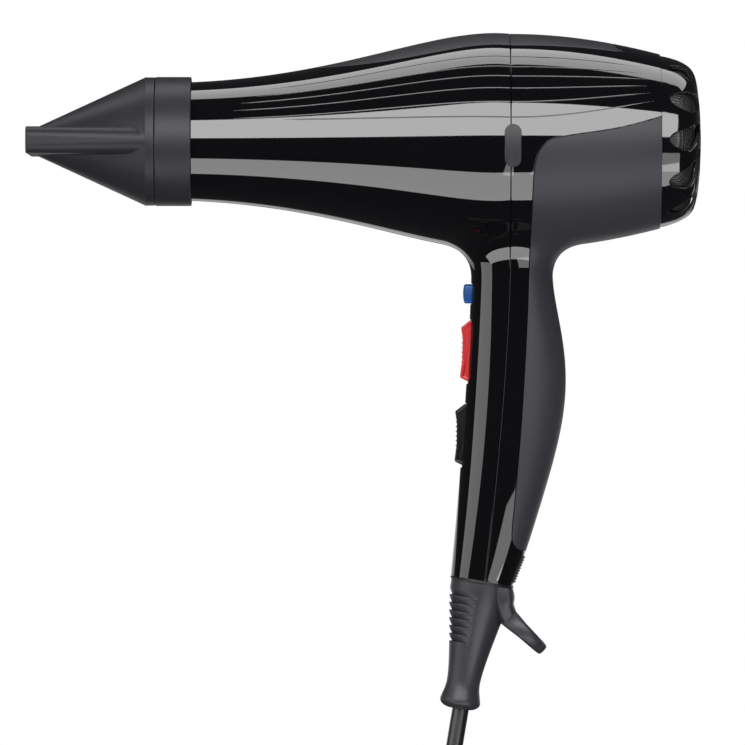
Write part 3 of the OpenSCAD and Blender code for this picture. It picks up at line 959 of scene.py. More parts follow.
@dataclass(frozen=True)
class Finish:
    """A moulded, rubber or metal finish, with its grain in metres."""

    name: str
    colour: Triple
    second: Triple
    rough: Pair
    grain_scale: float = 1500.0
    grain_height: float = 0.00001
    blotch_scale: float = 25.0
    metal: float = 0.0
    coat: float = 0.0
    coat_rough: float = 0.03
    specular: float = 0.5
    sheen: float = 0.0
    # Colour along convex edges: rubbed wear on the trim, nozzle and boot finishes, a painted highlight on
    # the grille and switch finishes.
    wear_and_highlight: Triple | None = None
    pattern: Pattern = Pattern.PLAIN
    pitch: float = 0.001

    def material(self) -> bpy.types.Material:
        """Builds the material's nodes.

        Returns:
            The finished material.
        """
        material = bpy.data.materials.new(self.name)
        material.use_nodes = True
        tree = material.node_tree
        shader = tree.nodes["Principled BSDF"]
        where = add_node(tree, "ShaderNodeTexCoord").outputs["Object"]
        scales = {"Grain Scale": self.grain_scale, "Blotch Scale": self.blotch_scale}
        surface = add_node(tree, "ShaderNodeGroup", {"Place": where}, scales, node_tree=EFFECTS.surface)
        amount, height = self._pattern(tree, where, surface)
        ends = {6: (*self.colour, 1), 7: (*self.second, 1)}
        colour = add_node(tree, "ShaderNodeMix", {0: amount}, ends, data_type="RGBA").outputs[2]
        # The edge colour is rubbed wear on some finishes and a painted highlight on others.
        if self.wear_and_highlight is not None:
            wear_and_highlight = add_node(tree, "ShaderNodeGroup", {"Place": where}, node_tree=EFFECTS.wear_and_highlight)
            mix = {0: wear_and_highlight.outputs["Wear"], 6: colour}
            worn_and_lit = {7: (*self.wear_and_highlight, 1)}
            colour = add_node(tree, "ShaderNodeMix", mix, worn_and_lit, data_type="RGBA").outputs[2]
        limits = {"From Min": 0.3, "From Max": 0.7, "To Min": self.rough[0], "To Max": self.rough[1]}
        rough = add_node(tree, "ShaderNodeMapRange", {"Value": surface.outputs["Blotch"]}, limits)
        relief = {"Strength": 1.0, "Distance": self.grain_height}
        bump = add_node(tree, "ShaderNodeBump", {"Height": height}, relief)
        tree.links.new(colour, shader.inputs["Base Color"])
        tree.links.new(rough.outputs["Result"], shader.inputs["Roughness"])
        tree.links.new(bump.outputs["Normal"], shader.inputs["Normal"])
        settings = {
            "Metallic": self.metal, "Specular IOR Level": self.specular, "Coat Weight": self.coat,
            "Coat Roughness": self.coat_rough, "Sheen Weight": self.sheen, "Sheen Roughness": 0.4,
        }
        for name, value in settings.items():
            shader.inputs[name].default_value = value
        return material

    def _wave(self, tree: bpy.types.NodeTree, where: bpy.types.NodeSocket, way: str, bend: float) -> tuple:
        """Waves along one axis at the finish's pitch, as a one-item tuple with their socket."""
        values = {"Scale": WAVES_PER_PITCH / self.pitch, "Distortion": bend}
        wave = add_node(tree, "ShaderNodeTexWave", {"Vector": where}, values, bands_direction=way)
        return (wave.outputs["Fac"],)

    def _pattern(
        self, tree: bpy.types.NodeTree, where: bpy.types.NodeSocket, surface: bpy.types.Node
    ) -> tuple[bpy.types.NodeSocket, bpy.types.NodeSocket]:
        """The sockets that mix the two colours and raise the surface.

        Args:
            tree: The material's nodes.
            where: Its object coordinates.
            surface: Its moulded surface group.

        Returns:
            The mix socket and the height socket.
        """
        if self.pattern is Pattern.PLAIN:
            return surface.outputs["Blotch"], surface.outputs["Grain"]
        if self.pattern is Pattern.BRUSHED:
            brushed = add_node(tree, "ShaderNodeGroup", {"Place": where}, node_tree=EFFECTS.brushed)
            return brushed.outputs["Scratch"], brushed.outputs["Scratch"]
        if self.pattern is Pattern.WOUND:
            return self._wave(tree, where, "X", 0.4) * 2
        if self.pattern is Pattern.FLAKED:
            size = {"Scale": 1 / self.pitch}
            flakes = add_node(tree, "ShaderNodeTexVoronoi", {"Vector": where}, size)
            tone = add_node(tree, "ShaderNodeSeparateColor", {0: flakes.outputs["Color"]})
            return tone.outputs[0], flakes.outputs["Distance"]
        across, down = self._wave(tree, where, "Y", 0.0) + self._wave(tree, where, "Z", 0.0)
        highest = add_node(tree, "ShaderNodeMath", {0: across, 1: down}, operation="MAXIMUM")
        return highest.outputs[0], highest.outputs[0]


FINISH_LIST = (
    Finish("gloss_black", (0.0032, 0.0029, 0.0036), (0.0042, 0.0038, 0.0048), (0.02, 0.05), 2600,
           0.0000004, 18),
    Finish("soft_grey", (0.039, 0.038, 0.045), (0.045, 0.044, 0.051), (0.40, 0.47), 2400, 0.000012, 22,
           specular=0.15, sheen=0.02),
    Finish("trim_grey", (0.034, 0.033, 0.038), (0.040, 0.039, 0.044), (0.36, 0.44), 2400, 0.00001, 30,
           specular=0.15, wear_and_highlight=(0.09, 0.09, 0.095)),
    # The grille's light grey edge colour is a painted highlight along the leaf edges.
    Finish("grille_black", (0.0035, 0.0032, 0.004), (0.005, 0.0045, 0.0055), (0.04, 0.08), 2200,
           0.000001, 24, wear_and_highlight=(0.35, 0.35, 0.36)),
    Finish("mesh_steel", (0.003, 0.003, 0.0035), (0.022, 0.022, 0.024), (0.4, 0.55), 900, 0.0002, 40,
           metal=0.3, pattern=Pattern.WOVEN, pitch=0.0008),
    Finish("nozzle_grey", (0.022, 0.0215, 0.025), (0.027, 0.0265, 0.030), (0.38, 0.46), 2000, 0.000016,
           35, specular=0.14, wear_and_highlight=(0.07, 0.07, 0.075)),
    Finish("dark_nylon", (0.012, 0.012, 0.013), (0.02, 0.02, 0.021), (0.45, 0.6), 1400, 0.00003, 40),
    # The lighter edge colours of the red, black and blue switch finishes are painted highlights on their
    # rims.
    Finish("red_switch", (0.74, 0.004, 0.007), (0.80, 0.006, 0.010), (0.3, 0.38), 1800, 0.000004, 60,
           specular=0.2, wear_and_highlight=(0.85, 0.12, 0.12)),
    Finish("black_switch", (0.005, 0.0045, 0.007), (0.007, 0.0065, 0.009), (0.26, 0.34), 1800, 0.000004,
           60, specular=0.1, wear_and_highlight=(0.2, 0.2, 0.21)),
    Finish("blue_button", (0.004, 0.085, 0.33), (0.006, 0.10, 0.37), (0.24, 0.32), 1800, 0.000004, 60,
           specular=0.15, wear_and_highlight=(0.08, 0.25, 0.6)),
    Finish("boot_rubber", (0.034, 0.033, 0.039), (0.041, 0.040, 0.046), (0.34, 0.42), 1700, 0.00002, 45,
           specular=0.2, sheen=0.02, wear_and_highlight=(0.09, 0.09, 0.095)),
    Finish("cord_rubber", (0.008, 0.008, 0.009), (0.014, 0.014, 0.015), (0.32, 0.42), 1300, 0.00002,
           60),
    Finish("steel", (0.42, 0.42, 0.43), (0.58, 0.58, 0.59), (0.22, 0.36), 900, 0.000006, 60, metal=1.0,
           pattern=Pattern.BRUSHED),
    Finish("alu", (0.55, 0.55, 0.56), (0.68, 0.68, 0.69), (0.35, 0.5), 700, 0.00004, 70, metal=1.0),
    Finish("bronze", (0.42, 0.25, 0.09), (0.56, 0.35, 0.14), (0.4, 0.55), 1500, 0.00002, 90, metal=1.0),
    Finish("copper", (0.30, 0.09, 0.03), (0.75, 0.30, 0.14), (0.25, 0.4), 900, 0.0002, 90, metal=1.0,
           pattern=Pattern.WOUND, pitch=0.0005),
    Finish("mica", (0.42, 0.36, 0.24), (0.62, 0.56, 0.42), (0.25, 0.5), 900, 0.00003, 70,
           pattern=Pattern.FLAKED, pitch=0.004),
    Finish("nylon", (0.62, 0.61, 0.57), (0.72, 0.71, 0.67), (0.38, 0.5), 1300, 0.00002, 50),
    Finish("carbon", (0.012, 0.012, 0.012), (0.04, 0.04, 0.04), (0.55, 0.75), 1800, 0.00005, 120),
    Finish("capacitor", (0.48, 0.33, 0.03), (0.58, 0.42, 0.06), (0.22, 0.35), 1200, 0.00001, 70,
           coat=0.3),
    Finish("wire", (0.01, 0.03, 0.16), (0.02, 0.05, 0.22), (0.3, 0.42), 1200, 0.00001, 80),
    Finish("plug_brass", (0.46, 0.42, 0.34), (0.60, 0.56, 0.47), (0.2, 0.34), 900, 0.000005, 80,
           metal=1.0, pattern=Pattern.BRUSHED),
)
FINISHES = {finish.name: finish for finish in FINISH_LIST}


class Wardrobe:
    """Hands out each finish's material, built once."""

    def __init__(self) -> None:
        """Starts with nothing built."""
        self.made: dict[str, bpy.types.Material] = {}
        self.repeat = Repeat()

    def get(self, slot: str) -> bpy.types.Material:
        """The material of a slot."""
        if slot not in self.made:
            self.made[slot] = FINISHES[slot].material()
        return self.made[slot]

    def dress(
        self, piece: bpy.types.Object, slot: str, body: str, *nodes: str
    ) -> bpy.types.Object:
        """Finishes a piece: its material, its slot, its body and the nodes it stands for.

        Args:
            piece: The new piece.
            slot: The material slot.
            body: The body that it rides on.
            nodes: CAD nodes that it replaces.

        Returns:
            The same piece.
        """
        piece.data.materials.clear()
        piece.data.materials.append(self.get(slot))
        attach(piece, body)
        if nodes:
            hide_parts(*nodes)
        LOG.info("%s: %d faces, %s, on %s", piece.name, len(piece.data.polygons), slot, body)
        return piece


# ---------------- camera, light and floor


@dataclass
class Studio:
    """Camera, soft lights, pale world and pale floor. Sizes are in metres."""

    eye: Triple = (-0.0584, -4.0, 0.011)
    view_width: float = 0.3129
    floor_drop: float = 0.02
    floor_radius: float = 4.0
    target: Triple = (-0.05, 0.0, 0.108)

    def camera(self) -> None:
        """Places the camera level, looking along +Y."""
        data = bpy.data.cameras.new("camera")
        data.angle = 2 * math.atan(self.view_width / 2 / -self.eye[1])
        data.clip_start = 0.05
        camera = placed("camera", data)
        camera.location = self.eye
        camera.rotation_euler = (RIGHT_ANGLE, 0, 0)
        bpy.context.scene.camera = camera

    def softbox(
        self, name: str, low_deg: float, high_deg: float, distance: float, length: float, radiance: float,
        turn_deg: float = 0.0, reflected: bool = True,
    ) -> None:
        """A long light parallel to the barrel, between two elevations seen from the barrel's axis.

        Args:
            name: The light's name.
            low_deg: The lower edge's elevation, 0 towards the camera and 90 overhead.
            high_deg: The upper edge's elevation.
            distance: From the barrel's axis.
            length: Along X.
            radiance: Its brightness.
            turn_deg: How far it is carried round the upright axis, from the camera's side towards +X.
            reflected: Whether it shows in reflections, or else only lights the dull surfaces.
        """
        half = math.radians(high_deg - low_deg) / 2
        middle = math.radians(high_deg + low_deg) / 2
        height = 2 * distance * math.tan(half)
        data = bpy.data.lights.new(name, "AREA")
        data.shape = "RECTANGLE"
        data.size = length
        data.size_y = height
        data.energy = radiance * math.pi * length * height
        light = placed(name, data)
        x, y, z = self.target
        turn = math.radians(turn_deg)
        flat = math.cos(middle)
        towards = Vector((-math.sin(turn) * flat, math.cos(turn) * flat, -math.sin(middle)))
        light.location = Vector((x, y, z)) - towards * distance
        light.rotation_mode = "QUATERNION"
        light.rotation_quaternion = towards.to_track_quat("-Z", "Y")
        light.visible_camera = False
        light.visible_glossy = reflected
        light.visible_diffuse = not reflected

    def lights(self) -> None:
        """The softboxes that show as bands in the gloss, and the fills that light the dull parts."""
        boxes = (
            ("front_softbox", 5, 40, 1.2, 1.9, 10.5),
            ("top_softbox", 88, 115, 1.1, 1.9, 5.0),
            ("low_softbox", -66, -34, 1.1, 1.9, 5.5),
            ("under_strip", -164, -146, 0.5, 1.2, 0.9),
            ("left_softbox", -30, 22, 1.2, 0.95, 2.9, -64),
            ("right_softbox", -38, -15, 1.2, 0.72, 3.4, 29),
            ("front_fill", 35, 75, 3.0, 3.4, 2.2, -15, False),
            ("back_fill", 38, 75, 3.0, 3.4, 1.1, 180, False),
        )
        for box in boxes:
            self.softbox(*box)

    def world(self) -> None:
        """A white world to the camera, soft to the surfaces and dark to reflections."""
        world = bpy.data.worlds.new("studio")
        world.use_nodes = True
        bpy.context.scene.world = world
        tree = world.node_tree
        soft = tree.nodes["Background"]
        soft.inputs["Color"].default_value = (0.9, 0.9, 0.92, 1)
        soft.inputs["Strength"].default_value = 0.55
        dim = {"Color": (0.9, 0.9, 0.95, 1), "Strength": 0.05}
        dark = add_node(tree, "ShaderNodeBackground", values=dim)
        white = add_node(tree, "ShaderNodeBackground", values={"Color": (1, 1, 1, 1), "Strength": 1.0})
        rays = add_node(tree, "ShaderNodeLightPath").outputs
        mix = {0: rays["Is Glossy Ray"], 1: soft.outputs[0], 2: dark.outputs[0]}
        glossy = add_node(tree, "ShaderNodeMixShader", mix)
        mix = {0: rays["Is Camera Ray"], 1: glossy.outputs[0], 2: white.outputs[0]}
        seen = add_node(tree, "ShaderNodeMixShader", mix)
        tree.links.new(seen.outputs[0], tree.nodes["World Output"].inputs["Surface"])

    def floor(self) -> None:
        """A pale round floor below the stored cord."""
        steps = 96
        angle = angles_round(steps)
        z = CAD_BOX[0].z - self.floor_drop
        ring = self.floor_radius * np.stack([np.cos(angle), np.sin(angle), 0 * angle], 1)
        shape = Shape((ring + np.array([0, 0, z])) / MM, [tuple(range(steps))])
        floor = shape.build("floor")
        material = bpy.data.materials.new("floor_paper")
        material.use_nodes = True
        shader = material.node_tree.nodes["Principled BSDF"]
        shader.inputs["Base Color"].default_value = (0.86, 0.86, 0.87, 1)
        shader.inputs["Roughness"].default_value = 0.9
        floor.data.materials.append(material)
        floor.visible_glossy = False

    def build(self) -> None:
        """Makes the whole studio."""
        bpy.context.scene.view_settings.view_transform = "Standard"
        self.camera()
        self.lights()
        self.world()
        self.floor()


# ---------------- mains cord


@dataclass
class MainsCord:
    """The cord, its stored coil, the tie round it and the plug. Sizes are in millimetres."""

    wardrobe: Wardrobe
    radius: float = 3.5
    exit: Triple = (-21.4, 0.0, -130.3)
    route: tuple[Triple, ...] = (
        (-22.2, 0, -135), (-23.2, 0, -141), (-24.2, 0, -147), (-25, 0, -151.5), (-26.2, 0, -155.5),
        (-28.4, 0, -160), (-30.8, 0, -163.7), (-33.4, 0, -166.5), (-39, 0, -172), (-45, 0, -178),
        (-51, 0, -184), (-57, 0, -190),
    )
    coil: Pair = (-24.6, -222.0)
    layers: Triple = (31.5, 38.5, 45.5)
    tail_x: float = -70.1
    tail: tuple[float, ...] = (-230.0, -240.0, -251.5)
    tie_width: float = 12.0
    tie_thick: float = 1.4
    plug_top: float = -250.0
    plug_neck: float = -263.0
    plug_end: float = -296.0
    plug_wide: float = 35.0
    plug_deep: float = 13.0
    pin_r: float = 2.4
    pin_long: float = 19.0
    pin_pitch: float = 19.0
    path: Array = field(default_factory=lambda: np.zeros((0, 3)))

    def turns(self) -> Array:
        """The coil's turns, cell by cell through its three layers and four lanes."""
        inner, mid, outer = self.layers
        a, b = self.radius, 3 * self.radius
        cells = [
            (outer, a), (outer, b), (mid, b), (inner, b), (inner, a), (mid, a), (mid, -a), (inner, -a),
            (inner, -b), (mid, -b), (outer, -b),
        ]
        stops = [(outer, 0.0), *cells, (outer, 0.0)]
        per_turn, start_deg, change, last_change = 72, 135.0, 0.3, 0.125
        total = len(cells) * per_turn + int(per_turn * last_change)
        out = []
        for i in range(1, total + 1):
            turn = i / per_turn
            k = min(int(turn), len(cells))
            ease = eased(min((turn - k) / (change if k < len(cells) else last_change), 1.0))
            r = stops[k][0] * (1 - ease) + stops[k + 1][0] * ease
            y = stops[k][1] * (1 - ease) + stops[k + 1][1] * ease
            angle = math.radians(start_deg + 360 * turn)
            out.append((self.coil[0] + r * math.cos(angle), y, self.coil[1] + r * math.sin(angle)))
        return np.array(out)

    def tube(self) -> bpy.types.Object:
        """The cord itself, as one tube along its whole route."""
        lead = smooth_curve([self.exit, *self.route], 3)
        tail = smooth_curve([(self.tail_x, 0, self.coil[1]), *((self.tail_x, 0, z) for z in self.tail)], 3)
        self.path = np.vstack([lead, self.turns()[:-1], tail])
        cord = sweep(self.path, self.radius, 14).outward().build("mains_cord")
        return self.wardrobe.dress(cord, "cord_rubber", "housing", "cord", "cord_coil")

    def tie(self) -> bpy.types.Object:
        """A strap round the top of the coil, with a raised buckle."""
        low = self.coil[1] + self.layers[0] - self.radius
        high = self.coil[1] + self.layers[2] + self.radius + 0.3
        wide = 14.2
        box = [(-wide, low), (wide, low), (wide, high), (-wide, high)]
        inner = rounded_outline(box, 3.0)
        thick = self.tie_thick
        around = [(y * 1.099, z + (thick if z > low + 1 else -thick)) for y, z in box]
        outer = rounded_outline(around, 4.2)
        half = self.tie_width / 2
        soft = 0.4
        rings = []
        for x, loop, blend in (
            (-half, outer, soft), (-half + soft, outer, 0), (half - soft, outer, 0), (half, outer, soft),
            (half, inner, 0), (-half, inner, 0), (-half, outer, soft),
        ):
            flat = shrunk(loop, blend)
            rings.append(np.column_stack([np.full(len(flat), self.coil[0] + x), flat]))
        band = loft(rings, False).outward()
        buckle = pillow(rounded_rectangle(7.5, 4.5, 1.5), 0, 1.6, 0.5, 0.3)
        buckle = moved(buckle, (self.coil[0], 0, high + 1.0))
        piece = band.joined(buckle).build("coil_tie")
        return self.wardrobe.dress(piece, "black_switch", "housing", "cord_tie")

    def plug(self) -> list[bpy.types.Object]:
        """A moulded two-pin plug with a ribbed relief and finger grips."""
        angle = angles_round(48)
        rings = []
        ribs = 5
        neck = self.plug_top - self.plug_neck
        for i in range(ribs * 4 + 1):
            u = i / (ribs * 4)
            r = 4.3 + 1.6 * u - (0.5 if i % 4 in (1, 2) else 0.0)
            z = self.plug_top - neck * u
            rings.append(self._oval(angle, r, r, z, 2.0))
        body = self.plug_neck - self.plug_end
        for i in range(31):
            u = i / 30
            grow = eased(min(1.0, u / 0.45))
            grip = 0.35 * (1 - math.cos(u * 10 * 2 * math.pi)) / 2 if 0.1 < u < 0.6 else 0.0
            a = 6.2 + (self.plug_wide / 2 - 6.2) * grow - grip * 2
            b = 6.0 + (self.plug_deep / 2 - 6.0) * grow
            rings.append(self._oval(angle, a, b, self.plug_neck - (body - 1.2) * u, 2.0 + 2.2 * grow))
        for t in np.linspace(0.2, 1, 5):
            inset = 1.2 * (1 - math.cos(t * math.pi / 2))
            z = self.plug_end + 1.2 * (1 - math.sin(t * math.pi / 2))
            half_wide, half_deep = self.plug_wide / 2 - inset, self.plug_deep / 2 - inset
            rings.append(self._oval(angle, half_wide, half_deep, z, 4.2))
        body_piece = loft(rings).outward().build("mains_plug", 50)
        self.wardrobe.dress(body_piece, "cord_rubber", "housing", "plug_body")
        round_end = self.pin_r * 0.5
        profile = [(0, self.pin_r), (self.pin_long - round_end, self.pin_r)]
        for t in np.linspace(0.3, 1.35, 4):
            depth = self.pin_long - round_end * (1 - math.sin(t))
            profile.append((depth, self.pin_r * (0.5 + 0.5 * math.cos(t))))
        angle = angle[::2]
        flat = np.column_stack([np.cos(angle), np.sin(angle)])
        pin_rings = [np.column_stack([flat * r, np.full(len(angle), -d)]) for d, r in profile]
        pin = loft(pin_rings).outward()
        pins = self.wardrobe.repeat.make(
            pin, "plug_pin_pair", self.wardrobe.get("plug_brass"), 2,
            (self.tail_x, -self.pin_pitch / 2, self.plug_end + 0.2), (0, self.pin_pitch, 0),
        )
        self.wardrobe.dress(pins, "plug_brass", "housing", "plug_pins")
        return [body_piece, pins]

    def _oval(self, angle: Array, a: float, b: float, z: float, n: float) -> Array:
        """One level section of the plug, from round to a rounded rectangle."""
        x = b * squared(np.sin(angle), 2 / n)
        y = a * squared(np.cos(angle), 2 / n)
        return np.column_stack([self.tail_x + x, y, np.full(len(angle), z)])

    def build(self) -> None:
        cord = self.tube()
        others = [self.tie(), *self.plug()]
        path = self.path * MM
        tuple(path[0])


# ---------------- boot


@dataclass
class CordBoot:
    """The rubber strain relief with its saw teeth, hanging eye and the ring above it."""

    wardrobe: Wardrobe
    teeth: int = 7
    first_tooth: float = 7.9
    pitch: float = 3.2
    depth: float = 1.2
    drift: float = -0.7
    drift_end: float = 43.0
    eye_r: float = 7.5
    eye_out: float = 12.2
    eye_thick: Triple = (8.4, 6.2, 5.2)
    eye: Pair = (4.7, -97.5)
    eye_tilt: float = 43.6
    radii: tuple[Pair, ...] = (
        (0, 13.0), (8, 12.6), (17, 11.0), (27, 9.1), (36, 7.6), (43, 6.9), (46, 7.0), (49, 7.9), (51.5, 8.9)
    )
    eye_root: tuple[tuple[float, ...], ...] = (
        (-3.6, -79.2, -9.6, 8.6, 11.3), (-3.4, -82.0, 2.0, 9.0, 11.4), (-2.9, -85.6, 22.0, 9.0, 11.2),
        (-2.3, -88.9, 40.0, 8.6, 10.4), (-0.9, -92.1, 46.4, 8.1, 9.3),
    )

    def radius(self, s: float) -> float:
        """Radius at a distance s below the foot."""
        return float(np.interp(s, *zip(*self.radii)))

    def smooth_radius(self, s: float) -> float:
        """The radius, averaged so that it has no corners."""
        return sum(self.radius(s + d) for d in (-3, -1.5, 0, 1.5, 3)) / 5

    def body(self) -> Shape:
        """The tapered body with seven saw teeth round its front."""
        angle = angles_round(72)
        front = np.maximum(np.cos(angle - math.pi), 0)
        fade = np.clip(front * 1.15 - 0.05, 0, 1) ** 0.8
        tooth = ((-2.6, 0.0), (-1.7, 0.3), (-0.9, 0.62), (-0.2, 1.0), (0, 0.12), (0.25, 0.0))
        marks: list[Pair] = [(1.3, 0.0), (3, 0.0), (4.6, 0.0)]
        for i in range(self.teeth):
            tip = self.first_tooth + self.pitch * i
            marks += [(tip + shift, sunk) for shift, sunk in tooth]
        bottom, rounding, hole_r = self.radii[-1][0], 3.3, 3.4
        marks += [(s, 0.0) for s in np.linspace(marks[-1][0] + 1, bottom, 18)]
        rings = []
        for s, sunk in marks:
            r = self.smooth_radius(s) - self.depth * sunk * fade
            rings.append(self._ring(angle, r, s, self.drift))
        base = self.smooth_radius(bottom)
        for turn in np.linspace(0.2, RIGHT_ANGLE, 8):
            r = base - (base - hole_r) * (1 - math.cos(turn))
            rings.append(self._ring(angle, r, bottom + rounding * math.sin(turn), self.drift))
        return loft(rings).outward()

    def _ring(
        self, angle: Array, r: Array | float, s: float, lowest_drift: float = 0.0
    ) -> Array:
        """One section across the boot's leaning axis, which may drift off it lower down."""
        drift = lowest_drift * min(s, self.drift_end) / self.drift_end
        local = np.stack([drift + r * np.cos(angle), r * np.sin(angle), np.full(len(angle), -s)], 1)
        return local @ turn_y(FORM.lean).T + np.array([FORM.foot[0], 0, FORM.foot[1]])

    def hanging_eye(self) -> Shape:
        """The eye on its web, a rounded ring that grows out of the boot's back."""
        cross = 16
        angle = angles_round(64)
        lean = np.cos(angle)
        middle = (self.eye_r + self.eye_out) / 2
        half_wide = (self.eye_out - self.eye_r) / 2
        root, middle_thick, end = (thick / 2 for thick in self.eye_thick)
        thickness = middle_thick + (root - middle_thick) * np.maximum(-lean, 0)
        thickness = thickness + (end - middle_thick) * np.maximum(lean, 0)
        rings = []
        for t in angles_round(cross):
            u = half_wide * squared(math.cos(t), 0.7)
            w = thickness * squared(math.sin(t), 0.5)
            r = middle + u * np.where(lean < 0, 1 + 0.25 * lean**2 * (u > 0), 1.0)
            rings.append(np.stack([r * lean, r * np.sin(angle), w], 1))
        ring = moved(closed_loft(rings), (self.eye[0], 0, self.eye[1]), turn_y(self.eye_tilt))
        blocks = []
        for x, z, turn, thick, half in smooth_curve(self.eye_root, 4):
            out = thick / 2 * squared(np.cos(angle), 0.55)
            y = half * squared(np.sin(angle), 0.55)
            tilt = math.radians(turn)
            blocks.append(np.stack([x + out * math.cos(tilt), y, z + out * math.sin(tilt)], 1))
        return ring.joined(loft(blocks).outward())

    def build(self) -> None:
        """Makes the boot and the ring above it."""
        boot = self.body().build("cord_boot", 42)
        eye = self.hanging_eye().build("boot_eye", 60)
        piece = joined_pieces("cord_boot", [boot, eye])
        self.wardrobe.dress(piece, "boot_rubber", "housing", "strain_relief")
        profile = ((5, 0.1), (12.9, 0.1), (13.4, 0.3), (13.5, 0.7), (13.4, 1.1), (12.9, 1.3), (5, 1.3))
        rings = [self._ring(angles_round(72), r, s) for r, s in profile]
        ring = loft(rings).outward().build("boot_ring")
        self.wardrobe.dress(ring, "black_switch", "housing", "relief_ring")


# ---------------- housing


@dataclass
class Housing:
    """The two glossy shells, the soft grip, the top strips, the side clips and the ribbed insert."""

    wardrobe: Wardrobe
    gap: float = 0.16
    edge_r: float = 0.28
    wall: float = 2.0
    skin_wall: float = 1.0
    groove_depth: float = 0.2
    groove_half: float = 0.3
    groove_tilt: float = 0.78
    line_angles: tuple[float, ...] = (39.9, 47.9, 54.4, 61.9, 69.8, 78.4)
    line_drops: tuple[float, ...] = (1.8, 4.5, 6.2, 8.5, 11.0, 13.4)
    line_starts: tuple[float, ...] = (-100.0, -107.0, -113.6, -116.3, -116.7, -96.4)
    line_ends: tuple[float, ...] = (51.9, 54.0, 57.0, 56.5, 57.3, 58.2)
    strip_front: float = -85.0
    strip_half: float = 21.6
    strip_end: float = 42.0
    clip: Pair = (0.0, 105.3)
    clip_half: Pair = (3.1, 8.5)
    insert_half: float = 6.0
    insert_top: float = -66.0
    insert_low: float = -77.2
    grip_knots: tuple[Pair, ...] = (
        (74, 121), (66, 118.7), (44.8, 112.9), (23.6, 109.5), (15, 107.3), (10.4, 101.5), (8.9, 95),
        (8.4, 86), (7.4, 58.9), (6.4, 31.7), (4.2, -7.4), (1.5, -40.5), (0.1, -56.6), (1.3, -61.6),
        (4.8, -64), (16, -66),
    )

    def __post_init__(self) -> None:
        """Works out the grip's smooth outline."""
        line = smooth_curve(self.grip_knots, 5)
        self.grip_outline = np.vstack([line, [[60, -66], [110, 0], [110, 121]]])

    def grip_level(self, p: Array) -> Array:
        """Positive inside the grip, as seen from the side."""
        return inside_by(self.grip_outline, p[:, [0, 2]])

    def strip_level(self, p: Array) -> Array:
        """Positive inside the strip along the top, in millimetres round the barrel."""
        front_long, back_start, back_long, narrowing = 65, -5, 53, 6
        z = p[:, 2] - FORM.axis_z
        r = np.hypot(p[:, 1], z)
        phi = np.arctan2(np.abs(p[:, 1]), z)
        u = np.clip((p[:, 0] - self.strip_front) / front_long, 0, 1)
        half = self.strip_half * np.sin(u * math.pi / 2) ** 0.55
        back = np.clip((p[:, 0] - back_start) / back_long, 0, None)
        widest = self.strip_front + front_long
        half = np.where(p[:, 0] > widest, self.strip_half - narrowing * back**1.8, half)
        side = r * (np.arcsin(np.clip(half / np.maximum(r, 1), 0, 1)) - phi)
        end = self.strip_end + 5.5 * (p[:, 1] / 19.2) ** 2
        return np.minimum(side, end - p[:, 0])

    def seam_level(self, p: Array) -> Array:
        """Positive behind the seam."""
        return p[:, 0] - FORM.seam_x(p[:, 2])

    def window_level(self, middle: float, half: float, wide: float) -> Level:
        """Negative inside a window in the handle's front."""

        def level(p: Array) -> Array:
            """Distance to the window's edge, seen from the front."""
            flat = rounded_box(p[:, 1], p[:, 2] - middle, wide, half, 1.2)
            return np.where(p[:, 0] > 0, 30.0, flat)

        return level

    def line_level(self, number: int, side: int, shift: float) -> Level:
        """Zero on a decorative line, or on one of its two edges.

        Args:
            number: Which line.
            side: -1 or 1, the half of the barrel it is on.
            shift: Distance to the line's middle, in millimetres.

        Returns:
            The level function.
        """
        angle = self.line_angles[number]
        drop = self.line_drops[number]

        def level(p: Array) -> Array:
            """Millimetres round the barrel from the line."""
            back = np.clip(p[:, 0] / 58, 0, None)
            want = angle - drop * back**2
            if number == 5:
                want = want - 5.7 * np.clip(-p[:, 0] / 96.4, 0, 1) ** 1.6
            phi = np.degrees(np.arctan2(side * p[:, 1], p[:, 2] - FORM.axis_z))
            taper = self.line_taper(number, p)
            r = np.hypot(p[:, 1], p[:, 2] - FORM.axis_z)
            return np.radians(phi - want) * r - shift * taper

        return level

    def line_taper(self, number: int, p: Array) -> Array:
        """How wide and deep a line is at each point, from 0.25 at its ends to 1."""
        start, end = self.line_starts[number], self.line_ends[number]
        run = np.minimum(p[:, 0] - start, end - p[:, 0]) / 9
        return np.clip(run, 0.25, 1)

    def line_zone(self, number: int, side: int) -> Level:
        """Positive where a line is cut."""
        start, end = self.line_starts[number], self.line_ends[number]

        def level(p: Array) -> Array:
            """Inside the line's length and on its side."""
            inside = np.minimum(p[:, 0] - start + 0.8, end + 0.8 - p[:, 0])
            return np.minimum(inside, np.minimum(side * p[:, 1] - 4, p[:, 2] - 100))

        return level

    def carved(self) -> Skin:
        """The whole skin with every line and boundary cut into it."""
        skin = FORM.skin()
        for number in range(len(self.line_angles)):
            for side in (-1, 1):
                zone = self.line_zone(number, side)
                for shift in (0.0, -self.groove_half, self.groove_half):
                    skin.cut(self.line_level(number, side, shift), 0.12, zone)
        return skin

